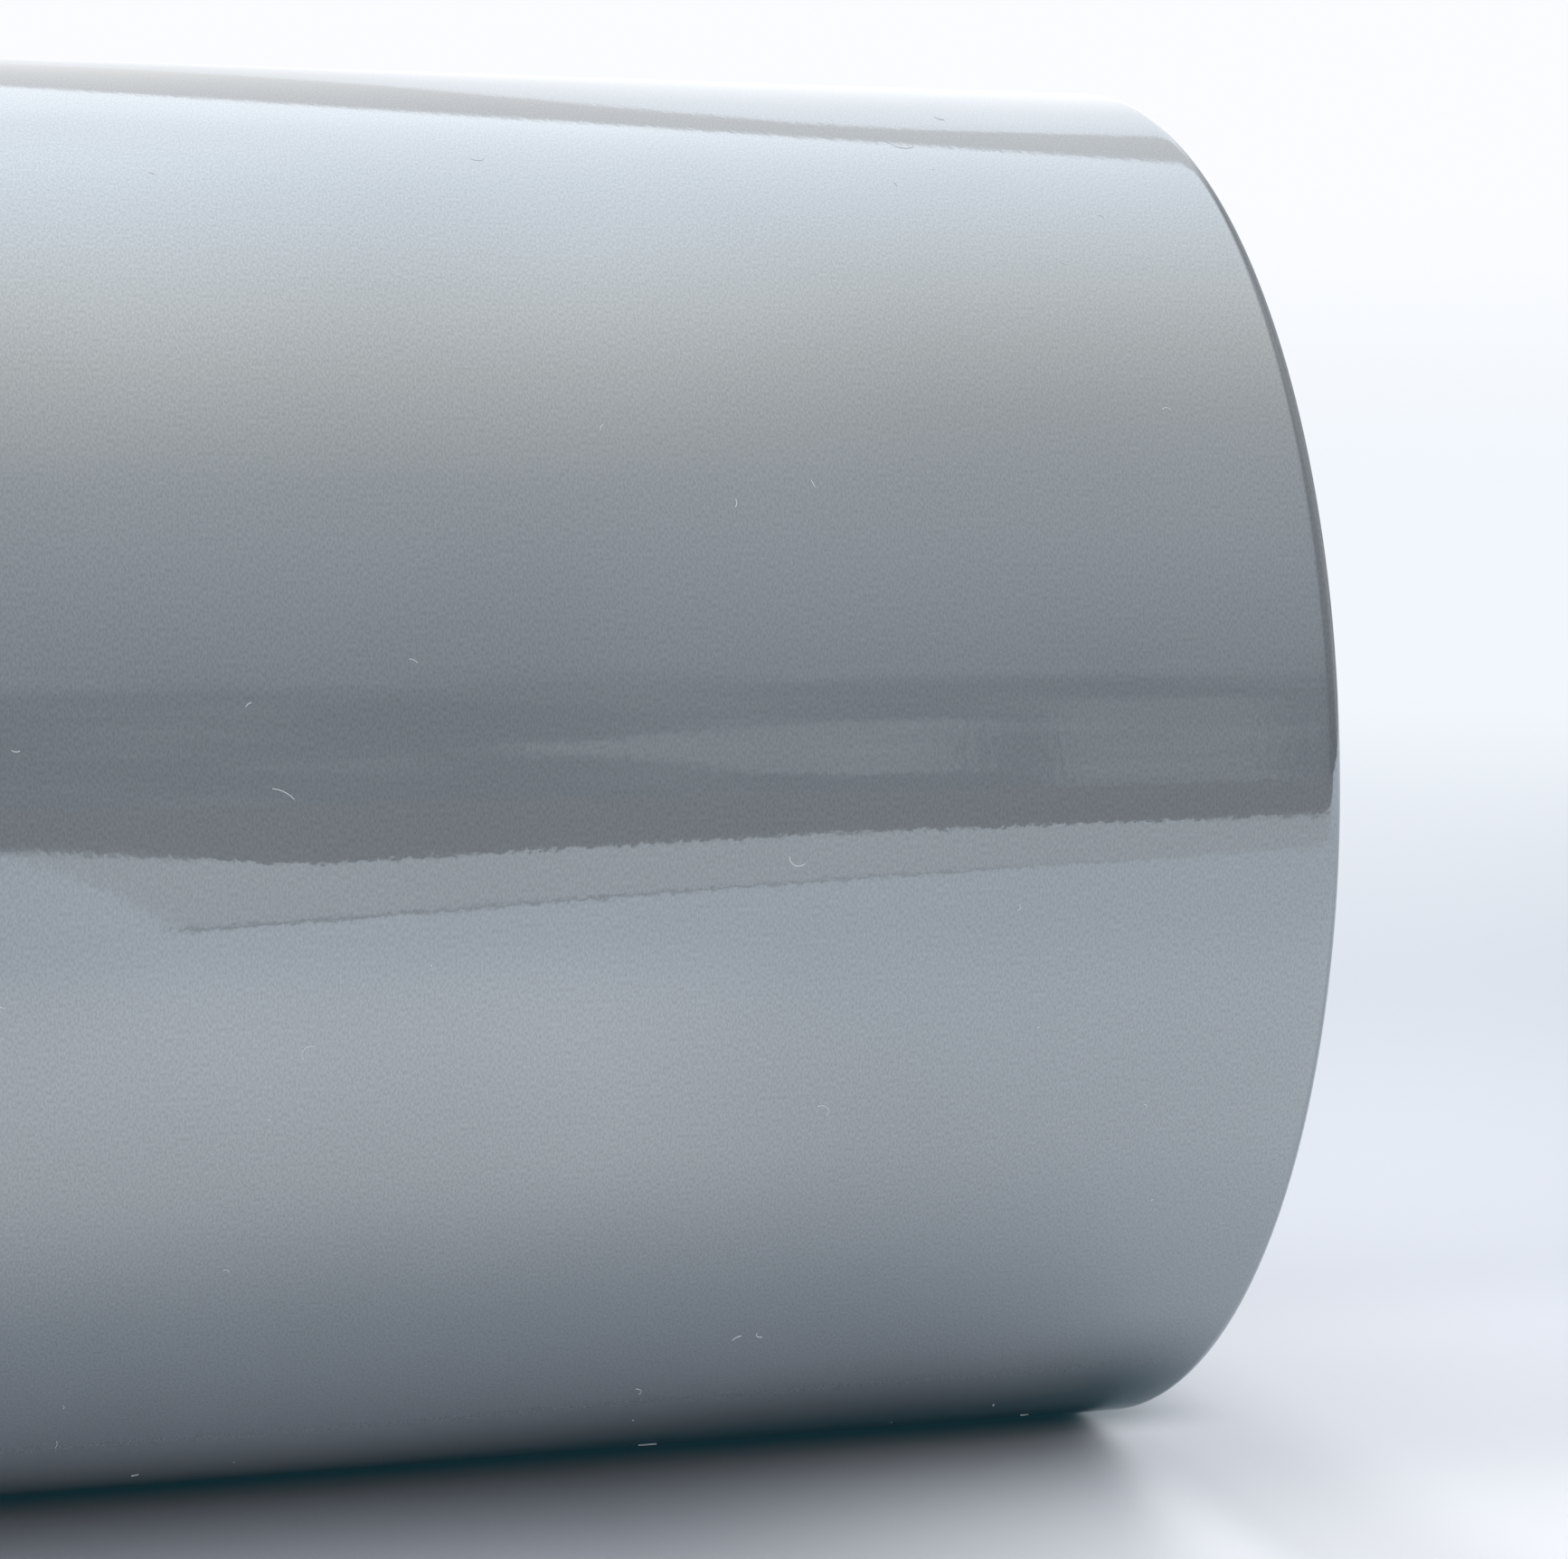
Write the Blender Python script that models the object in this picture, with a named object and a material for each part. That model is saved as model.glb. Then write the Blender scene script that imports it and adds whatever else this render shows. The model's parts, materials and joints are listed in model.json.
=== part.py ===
"""Backdrop roll: gloss-coated backdrop paper wound on a board core, lying on its side.

The roll's axis runs along X. The origin is under the middle of the roll, on the surface it lies on.
Angles go round the axis from +Y (back) over +Z (top) to -Y (front), so 270 degrees is the line of
contact with the ground. The paper leaves the core, winds to the outside and ends in a leader flap on
the back, which three tabs of tape hold down. A push-in plug closes each end of the core.
"""

from math import cos, radians, sin

import bmesh
import bpy
from mathutils import Matrix, Vector

# Driving dimensions, in metres
ROLL_LENGTH = 0.660
ROLL_RADIUS = 0.0450
CORE_RADIUS = 0.0300
CORE_BORE_RADIUS = 0.0255
PAPER = 0.00032
TAPE = 0.00016
LABEL = 0.00014
CLEARANCE = 0.0003
CORE_CHAMFER = 0.0006

# Facets: one lies flat on the ground, centred under the axis
FACETS = 48
FACET_ANGLE = 360.0 / FACETS
FIRST_CORNER = FACET_ANGLE / 2
AXIS_HEIGHT = ROLL_RADIUS * cos(radians(FACET_ANGLE / 2))
HALF_LENGTH = ROLL_LENGTH / 2

# Where the last turn of paper begins and ends, in degrees. The turn drops by one layer on the back,
# between RAMP_START and RAMP_END, and runs on under the flap to its lap end.
FLAP_ROOT = FIRST_CORNER + 11 * FACET_ANGLE
FLAP_ROOT_SLIT = 0.75
FREE_EDGE = FIRST_CORNER + 3 * FACET_ANGLE
RAMP_START = FIRST_CORNER + 40 * FACET_ANGLE
RAMP_END = FIRST_CORNER + 50 * FACET_ANGLE
LAP_END = FIRST_CORNER + 57 * FACET_ANGLE
LAYER_DROP = PAPER + CLEARANCE

# Tape tabs across the free edge
TAB_ROOT = FIRST_CORNER + 7 * FACET_ANGLE
TAB_END = FIRST_CORNER - FACET_ANGLE
TAB_WIDTH = 0.025
TAB_OFFSET = 0.250
TAB_STEP_TOP = FREE_EDGE - 0.35
TAB_STEP_FOOT = FREE_EDGE - 1.7

# Size label on the back of the last turn, under the left tab
LABEL_TOP = FIRST_CORNER - 2 * FACET_ANGLE
LABEL_FOOT = FIRST_CORNER - 6 * FACET_ANGLE
LABEL_LEFT = -0.292
LABEL_RIGHT = -0.222

# Strip of tape that holds the first turn to the core
START_TAPE_FROM = FIRST_CORNER + 2 * FACET_ANGLE
START_TAPE_TO = FIRST_CORNER + 6 * FACET_ANGLE
START_TAPE_LENGTH = 0.620

# End plugs
FLANGE_RADIUS = 0.0280
FLANGE_THICKNESS = 0.0022
FLANGE_BEVEL = 0.0006
BARREL_RADIUS = 0.0246
BARREL_LENGTH = 0.0220
BARREL_LEAD_IN = 0.0015
CUP_RADIUS = 0.0232
CUP_DEPTH = 0.0200
RIB_COUNT = 8
RIB_TOP_RADIUS = 0.0251
RIB_WIDTH = 0.0016
RIB_LENGTH = 0.0150
RIB_START = 0.0020
PULL_BAR_THICKNESS = 0.0030
PULL_BAR_RECESS = 0.0020
OVERLAP = 0.0005


def clear_scene():
    """Removes every object, so the file starts from nothing."""
    for obj in list(bpy.data.objects):
        bpy.data.objects.remove(obj, do_unlink=True)


def make_material(name, colour, roughness, metallic=0.0):
    """A Principled BSDF with one colour."""
    material = bpy.data.materials.new(name)
    material.use_nodes = True
    shader = material.node_tree.nodes["Principled BSDF"]
    shader.inputs["Base Color"].default_value = (*colour, 1.0)
    shader.inputs["Roughness"].default_value = roughness
    shader.inputs["Metallic"].default_value = metallic
    return material


def add_node(name, bm, material, smooth_angle=30.0):
    """Turns a bmesh, modelled about the roll's axis, into a named object at the axis' height."""
    bmesh.ops.remove_doubles(bm, verts=bm.verts, dist=1e-7)
    bmesh.ops.recalc_face_normals(bm, faces=bm.faces)
    mesh = bpy.data.meshes.new(name)
    bm.to_mesh(mesh)
    bm.free()
    mesh.shade_smooth()
    mesh.set_sharp_from_angle(angle=radians(smooth_angle))
    mesh.materials.append(material)
    obj = bpy.data.objects.new(name, mesh)
    obj.location = (0.0, 0.0, AXIS_HEIGHT)
    bpy.context.scene.collection.objects.link(obj)
    return obj


def around(radius, angle, x=0.0):
    """A point at this radius and angle round the axis."""
    return Vector((x, radius * cos(radians(angle)), radius * sin(radians(angle))))


def corner_angles(start, end):
    """The facet corners from start to end, both included, whichever way round they go."""
    low, high = min(start, end), max(start, end)
    corners = [low]
    step = 0
    while FIRST_CORNER + (step - FACETS) * FACET_ANGLE < high - 0.01:
        angle = FIRST_CORNER + (step - FACETS) * FACET_ANGLE
        if angle > low + 0.01:
            corners.append(angle)
        step += 1
    corners.append(high)
    return corners


def drop_share(angle):
    """How far the last turn has dropped under the flap at this angle, from 0 to 1."""
    if angle < FLAP_ROOT:
        angle += 360.0
    return min(1.0, max(0.0, (angle - RAMP_START) / (RAMP_END - RAMP_START)))


def last_turn_radius(angle):
    """Outer radius of the last turn of paper."""
    return ROLL_RADIUS - LAYER_DROP * drop_share(angle)


def extrude_section(bm, length, centre_x=0.0):
    """Pulls the flat section in bm along X, to this length about centre_x."""
    for vert in bm.verts:
        vert.co.x = centre_x - length / 2
    pulled = bmesh.ops.extrude_face_region(bm, geom=bm.faces[:])
    moved = [item for item in pulled["geom"] if isinstance(item, bmesh.types.BMVert)]
    bmesh.ops.translate(bm, verts=moved, vec=(length, 0.0, 0.0))


def curved_strip(outline, thickness, length, centre_x=0.0):
    """A sheet whose section follows outline, a list of (angle, inner radius), and is thickness deep."""
    bm = bmesh.new()
    inner = [bm.verts.new(around(radius, angle)) for angle, radius in outline]
    outer = [bm.verts.new(around(radius + thickness, angle)) for angle, radius in outline]
    for i in range(len(outline) - 1):
        bm.faces.new((inner[i], inner[i + 1], outer[i + 1], outer[i]))
    extrude_section(bm, length, centre_x)
    return bm


def turned(profile, steps=FACETS):
    """Spins a profile of (x, radius) points a full turn round X, with its corners on the facets."""
    bm = bmesh.new()
    verts = [bm.verts.new(around(radius, FIRST_CORNER, x)) for x, radius in profile]
    edges = [bm.edges.new(pair) for pair in zip(verts, verts[1:])]
    bmesh.ops.spin(
        bm,
        geom=verts + edges,
        cent=(0.0, 0.0, 0.0),
        axis=(1.0, 0.0, 0.0),
        angle=radians(360.0),
        steps=steps,
        use_merge=True,
    )
    return bm


def make_core_tube(board):
    """The board tube, with its four end edges broken."""
    end, bevel = HALF_LENGTH, CORE_CHAMFER
    profile = [
        (-end, CORE_BORE_RADIUS + bevel),
        (-end, CORE_RADIUS - bevel),
        (-end + bevel, CORE_RADIUS),
        (end - bevel, CORE_RADIUS),
        (end, CORE_RADIUS - bevel),
        (end, CORE_BORE_RADIUS + bevel),
        (end - bevel, CORE_BORE_RADIUS),
        (-end + bevel, CORE_BORE_RADIUS),
    ]
    return add_node("core_tube", turned(profile + profile[:1]), board)


def make_start_tape(tape):
    """The strip between the core and the first turn."""
    radius = CORE_RADIUS + CLEARANCE
    outline = [(angle, radius) for angle in corner_angles(START_TAPE_FROM, START_TAPE_TO)]
    return add_node("start_tape", curved_strip(outline, TAPE, START_TAPE_LENGTH), tape)


def make_wound_pack(paper):
    """All the turns under the last one, as a ring: its outside drops with the last turn, and its
    inside has a shallow pocket over the start tape."""
    pocket_from, pocket_to = START_TAPE_FROM - FACET_ANGLE, START_TAPE_TO + FACET_ANGLE
    outer_loop = []
    inner_loop = []
    for step in range(FACETS):
        angle = FIRST_CORNER + step * FACET_ANGLE
        under_lap = angle + 360.0 <= LAP_END + FACET_ANGLE + 0.01
        drop = LAYER_DROP if under_lap else LAYER_DROP * drop_share(angle)
        outer_loop.append((angle, ROLL_RADIUS - PAPER - CLEARANCE - drop))
        in_pocket = pocket_from - 0.01 < angle < pocket_to + 0.01
        inner_loop.append((angle, CORE_RADIUS + CLEARANCE + (TAPE + CLEARANCE) * in_pocket))
    bm = bmesh.new()
    edges = []
    for loop in (outer_loop, inner_loop):
        verts = [bm.verts.new(around(radius, angle)) for angle, radius in loop]
        edges += [bm.edges.new(pair) for pair in zip(verts, verts[1:] + verts[:1])]
    bmesh.ops.bridge_loops(bm, edges=edges)
    extrude_section(bm, ROLL_LENGTH)
    return add_node("wound_pack", bm, paper)


def make_last_turn(paper):
    """The outermost turn: from the flap's root over the front and under the roll, then up the back
    and on beneath the flap."""
    angles = corner_angles(FLAP_ROOT, LAP_END)
    outline = [(angle, last_turn_radius(angle) - PAPER) for angle in angles]
    return add_node("last_turn", curved_strip(outline, PAPER, ROLL_LENGTH), paper)


def make_leader_flap(paper):
    """The end of the paper, from its root on the top of the roll to its free edge on the back."""
    angles = corner_angles(FREE_EDGE, FLAP_ROOT - FLAP_ROOT_SLIT)
    outline = [(angle, ROLL_RADIUS - PAPER) for angle in angles]
    return add_node("leader_flap", curved_strip(outline, PAPER, ROLL_LENGTH), paper)


def make_tail_tape(name, centre_x, tape):
    """One tab: half on the flap, half on the turn below it, stepping down over the free edge."""
    on_flap = ROLL_RADIUS + CLEARANCE
    outline = [(angle, on_flap) for angle in reversed(corner_angles(TAB_STEP_TOP, TAB_ROOT))]
    for angle in reversed(corner_angles(TAB_END, TAB_STEP_FOOT)):
        outline.append((angle, last_turn_radius(angle) + CLEARANCE))
    return add_node(name, curved_strip(outline, TAPE, TAB_WIDTH, centre_x), tape)


def make_size_label(label):
    """The paper label on the back of the last turn."""
    angles = corner_angles(LABEL_FOOT, LABEL_TOP)
    outline = [(angle, last_turn_radius(angle) + CLEARANCE) for angle in angles]
    width, centre_x = LABEL_RIGHT - LABEL_LEFT, (LABEL_RIGHT + LABEL_LEFT) / 2
    return add_node("size_label", curved_strip(outline, LABEL, width, centre_x), label)


def box_mesh(name, low, high, turn=0.0):
    """A helper box between two corners, turned about X, in the plug's own frame."""
    bm = bmesh.new()
    bmesh.ops.create_cube(bm, size=1.0)
    size = Vector(high) - Vector(low)
    centre = (Vector(high) + Vector(low)) / 2
    bmesh.ops.scale(bm, verts=bm.verts, vec=size)
    bmesh.ops.translate(bm, verts=bm.verts, vec=centre)
    bmesh.ops.rotate(bm, verts=bm.verts, matrix=Matrix.Rotation(radians(turn), 3, "X"))
    mesh = bpy.data.meshes.new(name)
    bm.to_mesh(mesh)
    bm.free()
    helper = bpy.data.objects.new(name, mesh)
    helper.hide_render = True
    helper.display_type = "WIRE"
    bpy.context.scene.collection.objects.link(helper)
    return helper


def plug_profile():
    """The cup and its flange as (x, radius), where x = 0 is the flange's inner face."""
    top, bevel = FLANGE_THICKNESS, FLANGE_BEVEL
    return [
        (-BARREL_LENGTH, 0.0),
        (-BARREL_LENGTH, BARREL_RADIUS - BARREL_LEAD_IN),
        (-BARREL_LENGTH + BARREL_LEAD_IN, BARREL_RADIUS),
        (0.0, BARREL_RADIUS),
        (0.0, FLANGE_RADIUS),
        (top - bevel, FLANGE_RADIUS),
        (top, FLANGE_RADIUS - bevel),
        (top, CUP_RADIUS + bevel),
        (top - bevel, CUP_RADIUS),
        (-CUP_DEPTH, CUP_RADIUS),
        (-CUP_DEPTH, 0.0),
    ]


def make_end_plug(name, side, plastic):
    """A push-in plug: a flanged cup with crush ribs outside and a pull bar across it.

    side is +1 for the right end and -1 for the left, which is turned half round about Z.
    """
    plug = add_node(name, turned(plug_profile()), plastic)
    helpers = [
        box_mesh(
            name + "_bar",
            (-CUP_DEPTH - OVERLAP, -PULL_BAR_THICKNESS / 2, -CUP_RADIUS - OVERLAP),
            (-PULL_BAR_RECESS, PULL_BAR_THICKNESS / 2, CUP_RADIUS + OVERLAP),
        )
    ]
    for rib in range(RIB_COUNT):
        helpers.append(
            box_mesh(
                f"{name}_rib_{rib}",
                (-RIB_START - RIB_LENGTH, BARREL_RADIUS - 2 * OVERLAP, -RIB_WIDTH / 2),
                (-RIB_START, RIB_TOP_RADIUS, RIB_WIDTH / 2),
                turn=(rib + 0.5) * 360.0 / RIB_COUNT,
            )
        )
    placing = Matrix.Translation((side * (HALF_LENGTH + CLEARANCE), 0.0, AXIS_HEIGHT))
    if side < 0:
        placing = placing @ Matrix.Rotation(radians(180.0), 4, "Z")
    plug.matrix_world = placing
    for helper in helpers:
        helper.matrix_world = placing
        union = plug.modifiers.new(helper.name, "BOOLEAN")
        union.operation = "UNION"
        union.object = helper
    return plug


def main():
    """Builds every piece of the roll."""
    clear_scene()
    gloss_paper = make_material("gloss_paper", (0.235, 0.262, 0.290), 0.08)
    paper_edges = make_material("paper_edges", (0.62, 0.63, 0.64), 0.75)
    board = make_material("board", (0.42, 0.30, 0.19), 0.85)
    white_tape = make_material("white_tape", (0.78, 0.76, 0.70), 0.55)
    plug_plastic = make_material("plug_plastic", (0.045, 0.047, 0.050), 0.42)
    label_paper = make_material("label_paper", (0.84, 0.84, 0.82), 0.60)

    make_core_tube(board)
    make_start_tape(white_tape)
    make_wound_pack(paper_edges)
    make_last_turn(gloss_paper)
    make_leader_flap(gloss_paper)
    make_size_label(label_paper)
    for name, centre_x in (("left", -TAB_OFFSET), ("centre", 0.0), ("right", TAB_OFFSET)):
        make_tail_tape(f"tail_tape_{name}", centre_x, white_tape)
    make_end_plug("left_end_plug", -1, plug_plastic)
    make_end_plug("right_end_plug", 1, plug_plastic)


main()
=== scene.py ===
"""Looks of the backdrop roll: gloss-coated paper on a board core, taped shut, with a plug in each end.

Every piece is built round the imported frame, in metres, in the frame's own place. Angles go round the
roll's axis from +Y (back) over +Z (top) to -Y (front), so 270 degrees is the line of contact.
"""

import json
import logging
from dataclasses import dataclass, field
from enum import Enum
from functools import cached_property
from math import atan2, cos, copysign, degrees, hypot, pi, radians, sin
from random import Random
from typing import Callable, Mapping

import bmesh
import bpy
from mathutils import Matrix, Vector


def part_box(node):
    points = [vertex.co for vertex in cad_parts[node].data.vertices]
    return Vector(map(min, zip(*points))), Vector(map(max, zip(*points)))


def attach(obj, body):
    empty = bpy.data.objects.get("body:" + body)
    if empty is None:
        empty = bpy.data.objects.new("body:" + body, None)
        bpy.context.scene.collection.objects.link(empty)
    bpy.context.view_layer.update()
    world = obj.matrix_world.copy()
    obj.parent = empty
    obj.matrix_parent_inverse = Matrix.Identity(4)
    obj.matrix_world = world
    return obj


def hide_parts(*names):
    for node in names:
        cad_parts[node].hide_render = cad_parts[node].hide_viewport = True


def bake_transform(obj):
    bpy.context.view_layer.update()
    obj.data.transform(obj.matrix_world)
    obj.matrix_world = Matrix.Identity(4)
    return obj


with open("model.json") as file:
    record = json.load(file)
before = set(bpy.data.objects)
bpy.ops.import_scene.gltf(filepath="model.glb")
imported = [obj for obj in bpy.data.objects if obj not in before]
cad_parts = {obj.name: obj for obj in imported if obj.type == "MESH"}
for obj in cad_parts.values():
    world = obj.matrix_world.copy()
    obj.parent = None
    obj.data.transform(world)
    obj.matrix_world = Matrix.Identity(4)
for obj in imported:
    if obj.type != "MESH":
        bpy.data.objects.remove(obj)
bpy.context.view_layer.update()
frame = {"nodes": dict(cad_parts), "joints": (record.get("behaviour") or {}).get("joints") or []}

MM = 0.001
FLAT_MAP = "flat"

log = logging.getLogger("backdrop_roll")

Pair = tuple[float, float]
Colour = tuple[float, float, float]
Fade = Pair | tuple[float, float, float, float]
Socket = bpy.types.NodeSocket
Piece = bpy.types.Object
Shape = bmesh.types.BMesh
Feed = Socket | float | tuple


class Side(Enum):
    """The two ends of the roll, by the sign of their X."""

    LEFT = -1
    RIGHT = 1


class Face(Enum):
    """The faces of a strip of sheet, by their material slot."""

    OUTER = 0
    INNER = 1
    CUT = 2


# ---- Where things are ----


@dataclass(frozen=True)
class RollFrame:
    """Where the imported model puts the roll, read from its nodes and joints.

    Attributes:
        axis: Height of the roll's axis, which is also the roll's radius.
        half_length: Half the length of the paper and of the core.
        core_radius: Outside radius of the board core.
        bore_radius: Inside radius of the board core.
        hinge: A point on the line about which the leader flap lifts.
        tab_hinge: A point on the line about which the tape tabs peel.
        root: Angle at which the leader flap starts, in degrees.
        free_edge: Angle of the leader flap's free edge, in degrees.
        tab_root: Angle at which the tape tabs start, in degrees.
        tab_end: Angle at which the tape tabs end, in degrees.
    """

    axis: float
    half_length: float
    core_radius: float
    bore_radius: float
    hinge: Vector
    tab_hinge: Vector
    root: float
    free_edge: float
    tab_root: float
    tab_end: float

    @staticmethod
    def read() -> "RollFrame":
        """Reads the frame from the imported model.

        Returns:
            The roll's sizes and angles.
        """
        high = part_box("last_turn")[1]
        axis = high.z / 2
        flap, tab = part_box("leader_flap"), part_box("tail_tape_centre")
        joints = {joint["name"]: joint for joint in frame["joints"]}
        hinge = Vector(joints["leader_lift"]["pos_m"])
        tab_hinge = Vector(joints["centre_tab_peel"]["pos_m"])
        core = frame["nodes"]["core_tube"].data.vertices
        return RollFrame(
            axis=axis,
            half_length=high.x,
            core_radius=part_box("core_tube")[1].z - axis,
            bore_radius=min(hypot(vert.co.y, vert.co.z - axis) for vert in core),
            hinge=hinge,
            tab_hinge=tab_hinge,
            root=degrees(atan2(hinge.z - axis, hinge.y)),
            free_edge=degrees(atan2(flap[0].z - axis, flap[1].y)),
            tab_root=degrees(atan2(tab_hinge.z - axis, tab_hinge.y)),
            tab_end=degrees(atan2(tab[0].z - axis, tab[1].y)),
        )

    def around(self, x: float, radius: float, angle: float) -> Vector:
        """A point at this radius and angle round the roll's axis."""
        return Vector((x, radius * cos(radians(angle)), self.axis + radius * sin(radians(angle))))


@dataclass(frozen=True)
class Winding:
    """How the paper lies on the roll. Every turn follows the same spiral: it is round over the front
    and drops by one layer on the back, between ramp_from and ramp_to.

    Attributes:
        roll: The frame that the paper is wound in.
        turns: How many turns lie under the last one.
        ramp_from: Angle at which a turn starts to drop, in degrees.
        ramp_to: Angle at which it has dropped by a whole layer, in degrees.
        shoulder: Radius to which the outermost turn's edges are bent in at both ends.
        shoulder_bend: How far round that bend the edges go, in degrees.
        air: Gap between two layers.
    """

    roll: RollFrame
    turns: int = 46
    ramp_from: float = 303.75
    ramp_to: float = 378.75
    shoulder: float = 1.1 * MM
    shoulder_bend: float = 68.0
    air: float = 0.012 * MM

    @property
    def pitch(self) -> float:
        """Distance from one layer to the next."""
        return (self.roll.axis - self.roll.core_radius) / (self.turns + 1)

    @property
    def sheet(self) -> float:
        """Thickness of the paper."""
        return self.pitch - self.air

    @property
    def flat_half(self) -> float:
        """Half the width of the paper between its bent edges."""
        return self.roll.half_length - self.shoulder

    @property
    def half_width(self) -> float:
        """Half the width of the paper, along its surface."""
        return self.flat_half + self.shoulder * radians(self.shoulder_bend)

    def drop(self, angle: float) -> float:
        """How far a turn has dropped, as a share of one layer."""
        share = min(1.0, max(0.0, (angle - self.ramp_from) / (self.ramp_to - self.ramp_from)))
        return share * share * (3 - 2 * share)

    def surface(self, angle: float) -> float:
        """Outside radius of the last turn at this angle, from the flap's root to one turn past it."""
        return self.roll.axis - self.pitch * self.drop(angle)

    def place(self, across: float, depth: float, angle: float, surface: float) -> Vector:
        """Lays a point of the outermost turn on the roll, round the bent edges at both ends.

        Args:
            across: Distance from the middle of the roll, along the paper.
            depth: Distance below the paper's outer face.
            angle: Angle round the roll, in degrees.
            surface: Radius of the paper's outer face there.

        Returns:
            The point, in the frame.
        """
        below = self.roll.axis - surface + depth
        beyond = abs(across) - self.flat_half
        if beyond <= 0:
            return self.roll.around(across, self.roll.axis - below, angle)
        bend = beyond / self.shoulder
        arm = self.shoulder - below
        x = copysign(self.flat_half + arm * sin(bend), across)
        return self.roll.around(x, self.roll.axis - self.shoulder + arm * cos(bend), angle)


# ---- Node trees ----


class Canvas:
    """A node tree, with short calls for the nodes that the finishes are made of."""

    def __init__(self, tree: bpy.types.NodeTree) -> None:
        """Takes over a tree."""
        self.tree = tree

    def add(self, kind: str, **settings: object) -> bpy.types.Node:
        """Adds a node.

        Args:
            kind: The node's type, such as "ShaderNodeMath".
            settings: Properties to set on it.

        Returns:
            The node.
        """
        node = self.tree.nodes.new(kind)
        for name, value in settings.items():
            setattr(node, name, value)
        return node

    def feed(self, socket: Socket, value: Feed) -> None:
        """Links an output to a socket, or sets the socket's own value.

        Args:
            socket: The input.
            value: The output or the value.
        """
        if isinstance(value, Socket):
            self.tree.links.new(value, socket)
        elif socket.type == "RGBA" and len(value) == 3:
            socket.default_value = (*value, 1.0)
        else:
            socket.default_value = value

    def node(self, kind: str, feeds: dict[str | int, Feed], **settings: object) -> bpy.types.Node:
        """Adds a node and feeds its inputs.

        Args:
            kind: The node's type.
            feeds: What goes into each input, by its name or number.
            settings: Properties to set on it.

        Returns:
            The node.
        """
        node = self.add(kind, **settings)
        for name, value in feeds.items():
            self.feed(node.inputs[name], value)
        return node

    def math(self, operation: str, *values: Feed, clamp: bool = False) -> Socket:
        """A Math node's result."""
        feeds = dict(enumerate(values))
        return self.node("ShaderNodeMath", feeds, operation=operation, use_clamp=clamp).outputs[0]

    def plus(self, first: Feed, second: Feed) -> Socket:
        """The sum of two values."""
        return self.math("ADD", first, second)

    def minus(self, first: Feed, second: Feed, **settings: bool) -> Socket:
        """The first value less the second."""
        return self.math("SUBTRACT", first, second, **settings)

    def product(self, first: Feed, *others: Feed) -> Socket:
        """All the values multiplied."""
        for other in others:
            first = self.math("MULTIPLY", first, other)
        return first

    def vector(self, operation: str, *values: Feed) -> Socket:
        """A Vector Math node's vector."""
        feeds = dict(enumerate(values))
        return self.node("ShaderNodeVectorMath", feeds, operation=operation).outputs[0]

    def split(self, vector: Feed) -> tuple[Socket, ...]:
        """The three parts of a vector."""
        return tuple(self.node("ShaderNodeSeparateXYZ", {0: vector}).outputs)

    def join(self, x: Feed, y: Feed, z: Feed) -> Socket:
        """A vector from its three parts."""
        return self.node("ShaderNodeCombineXYZ", {0: x, 1: y, 2: z}).outputs[0]

    def noise(self, vector: Feed, scale: Feed, detail: float = 2.0) -> Socket:
        """Noise from 0 to 1 at this many cells per metre."""
        feeds = {"Vector": vector, "Scale": scale, "Detail": detail}
        return self.node("ShaderNodeTexNoise", feeds).outputs["Fac"]

    def smooth(
        self, value: Feed, low: Feed, high: Feed, bottom: Feed = 0.0, top: Feed = 1.0
    ) -> Socket:
        """A smooth step."""
        feeds = dict(enumerate((value, low, high, bottom, top)))
        return self.node("ShaderNodeMapRange", feeds, interpolation_type="SMOOTHSTEP").outputs[0]

    def mix(self, share: Feed, first: Feed, second: Feed) -> Socket:
        """Two colours mixed, where share 0 gives the first."""
        feeds = {0: share, 6: first, 7: second}
        return self.node("ShaderNodeMix", feeds, data_type="RGBA", clamp_factor=True).outputs[2]

    def blend(self, share: Feed, first: Feed, second: Feed) -> Socket:
        """Two values mixed, where share 0 gives the first."""
        feeds = {0: share, 2: first, 3: second}
        return self.node("ShaderNodeMix", feeds, data_type="FLOAT", clamp_factor=True).outputs[0]

    def ramp(self, value: Feed, stops: list[tuple[float, Colour]]) -> Socket:
        """A colour ramp.

        Args:
            value: What picks the colour, from 0 to 1.
            stops: Places and colours, in order.

        Returns:
            The colour.
        """
        node = self.node("ShaderNodeValToRGB", {0: value})
        elements = node.color_ramp.elements
        while len(elements) < len(stops):
            elements.new(1.0)
        for element, (place, colour) in zip(elements, stops):
            element.position = place
            element.color = (*colour, 1.0)
        return node.outputs[0]

    def bump(self, height: Feed, distance: float) -> Socket:
        """The normal over relief of this height, in metres."""
        return self.node("ShaderNodeBump", {"Height": height, "Distance": distance}).outputs[0]

    def flat_map(self) -> Socket:
        """Place on a sheet while it is flat, in metres."""
        return self.add("ShaderNodeUVMap", uv_map=FLAT_MAP).outputs[0]

    def place(self) -> Socket:
        """Place on the piece, in metres."""
        return self.add("ShaderNodeTexCoord").outputs["Object"]

    def effect(self, group: bpy.types.NodeTree, **feeds: Feed) -> Socket:
        """Places a shared effect.

        Args:
            group: The effect's node group.
            feeds: Its inputs by name, with underscores for spaces.

        Returns:
            Its output.
        """
        node = self.add("ShaderNodeGroup", node_tree=group)
        for name, value in feeds.items():
            self.feed(node.inputs[name.replace("_", " ")], value)
        return node.outputs[0]


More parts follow.
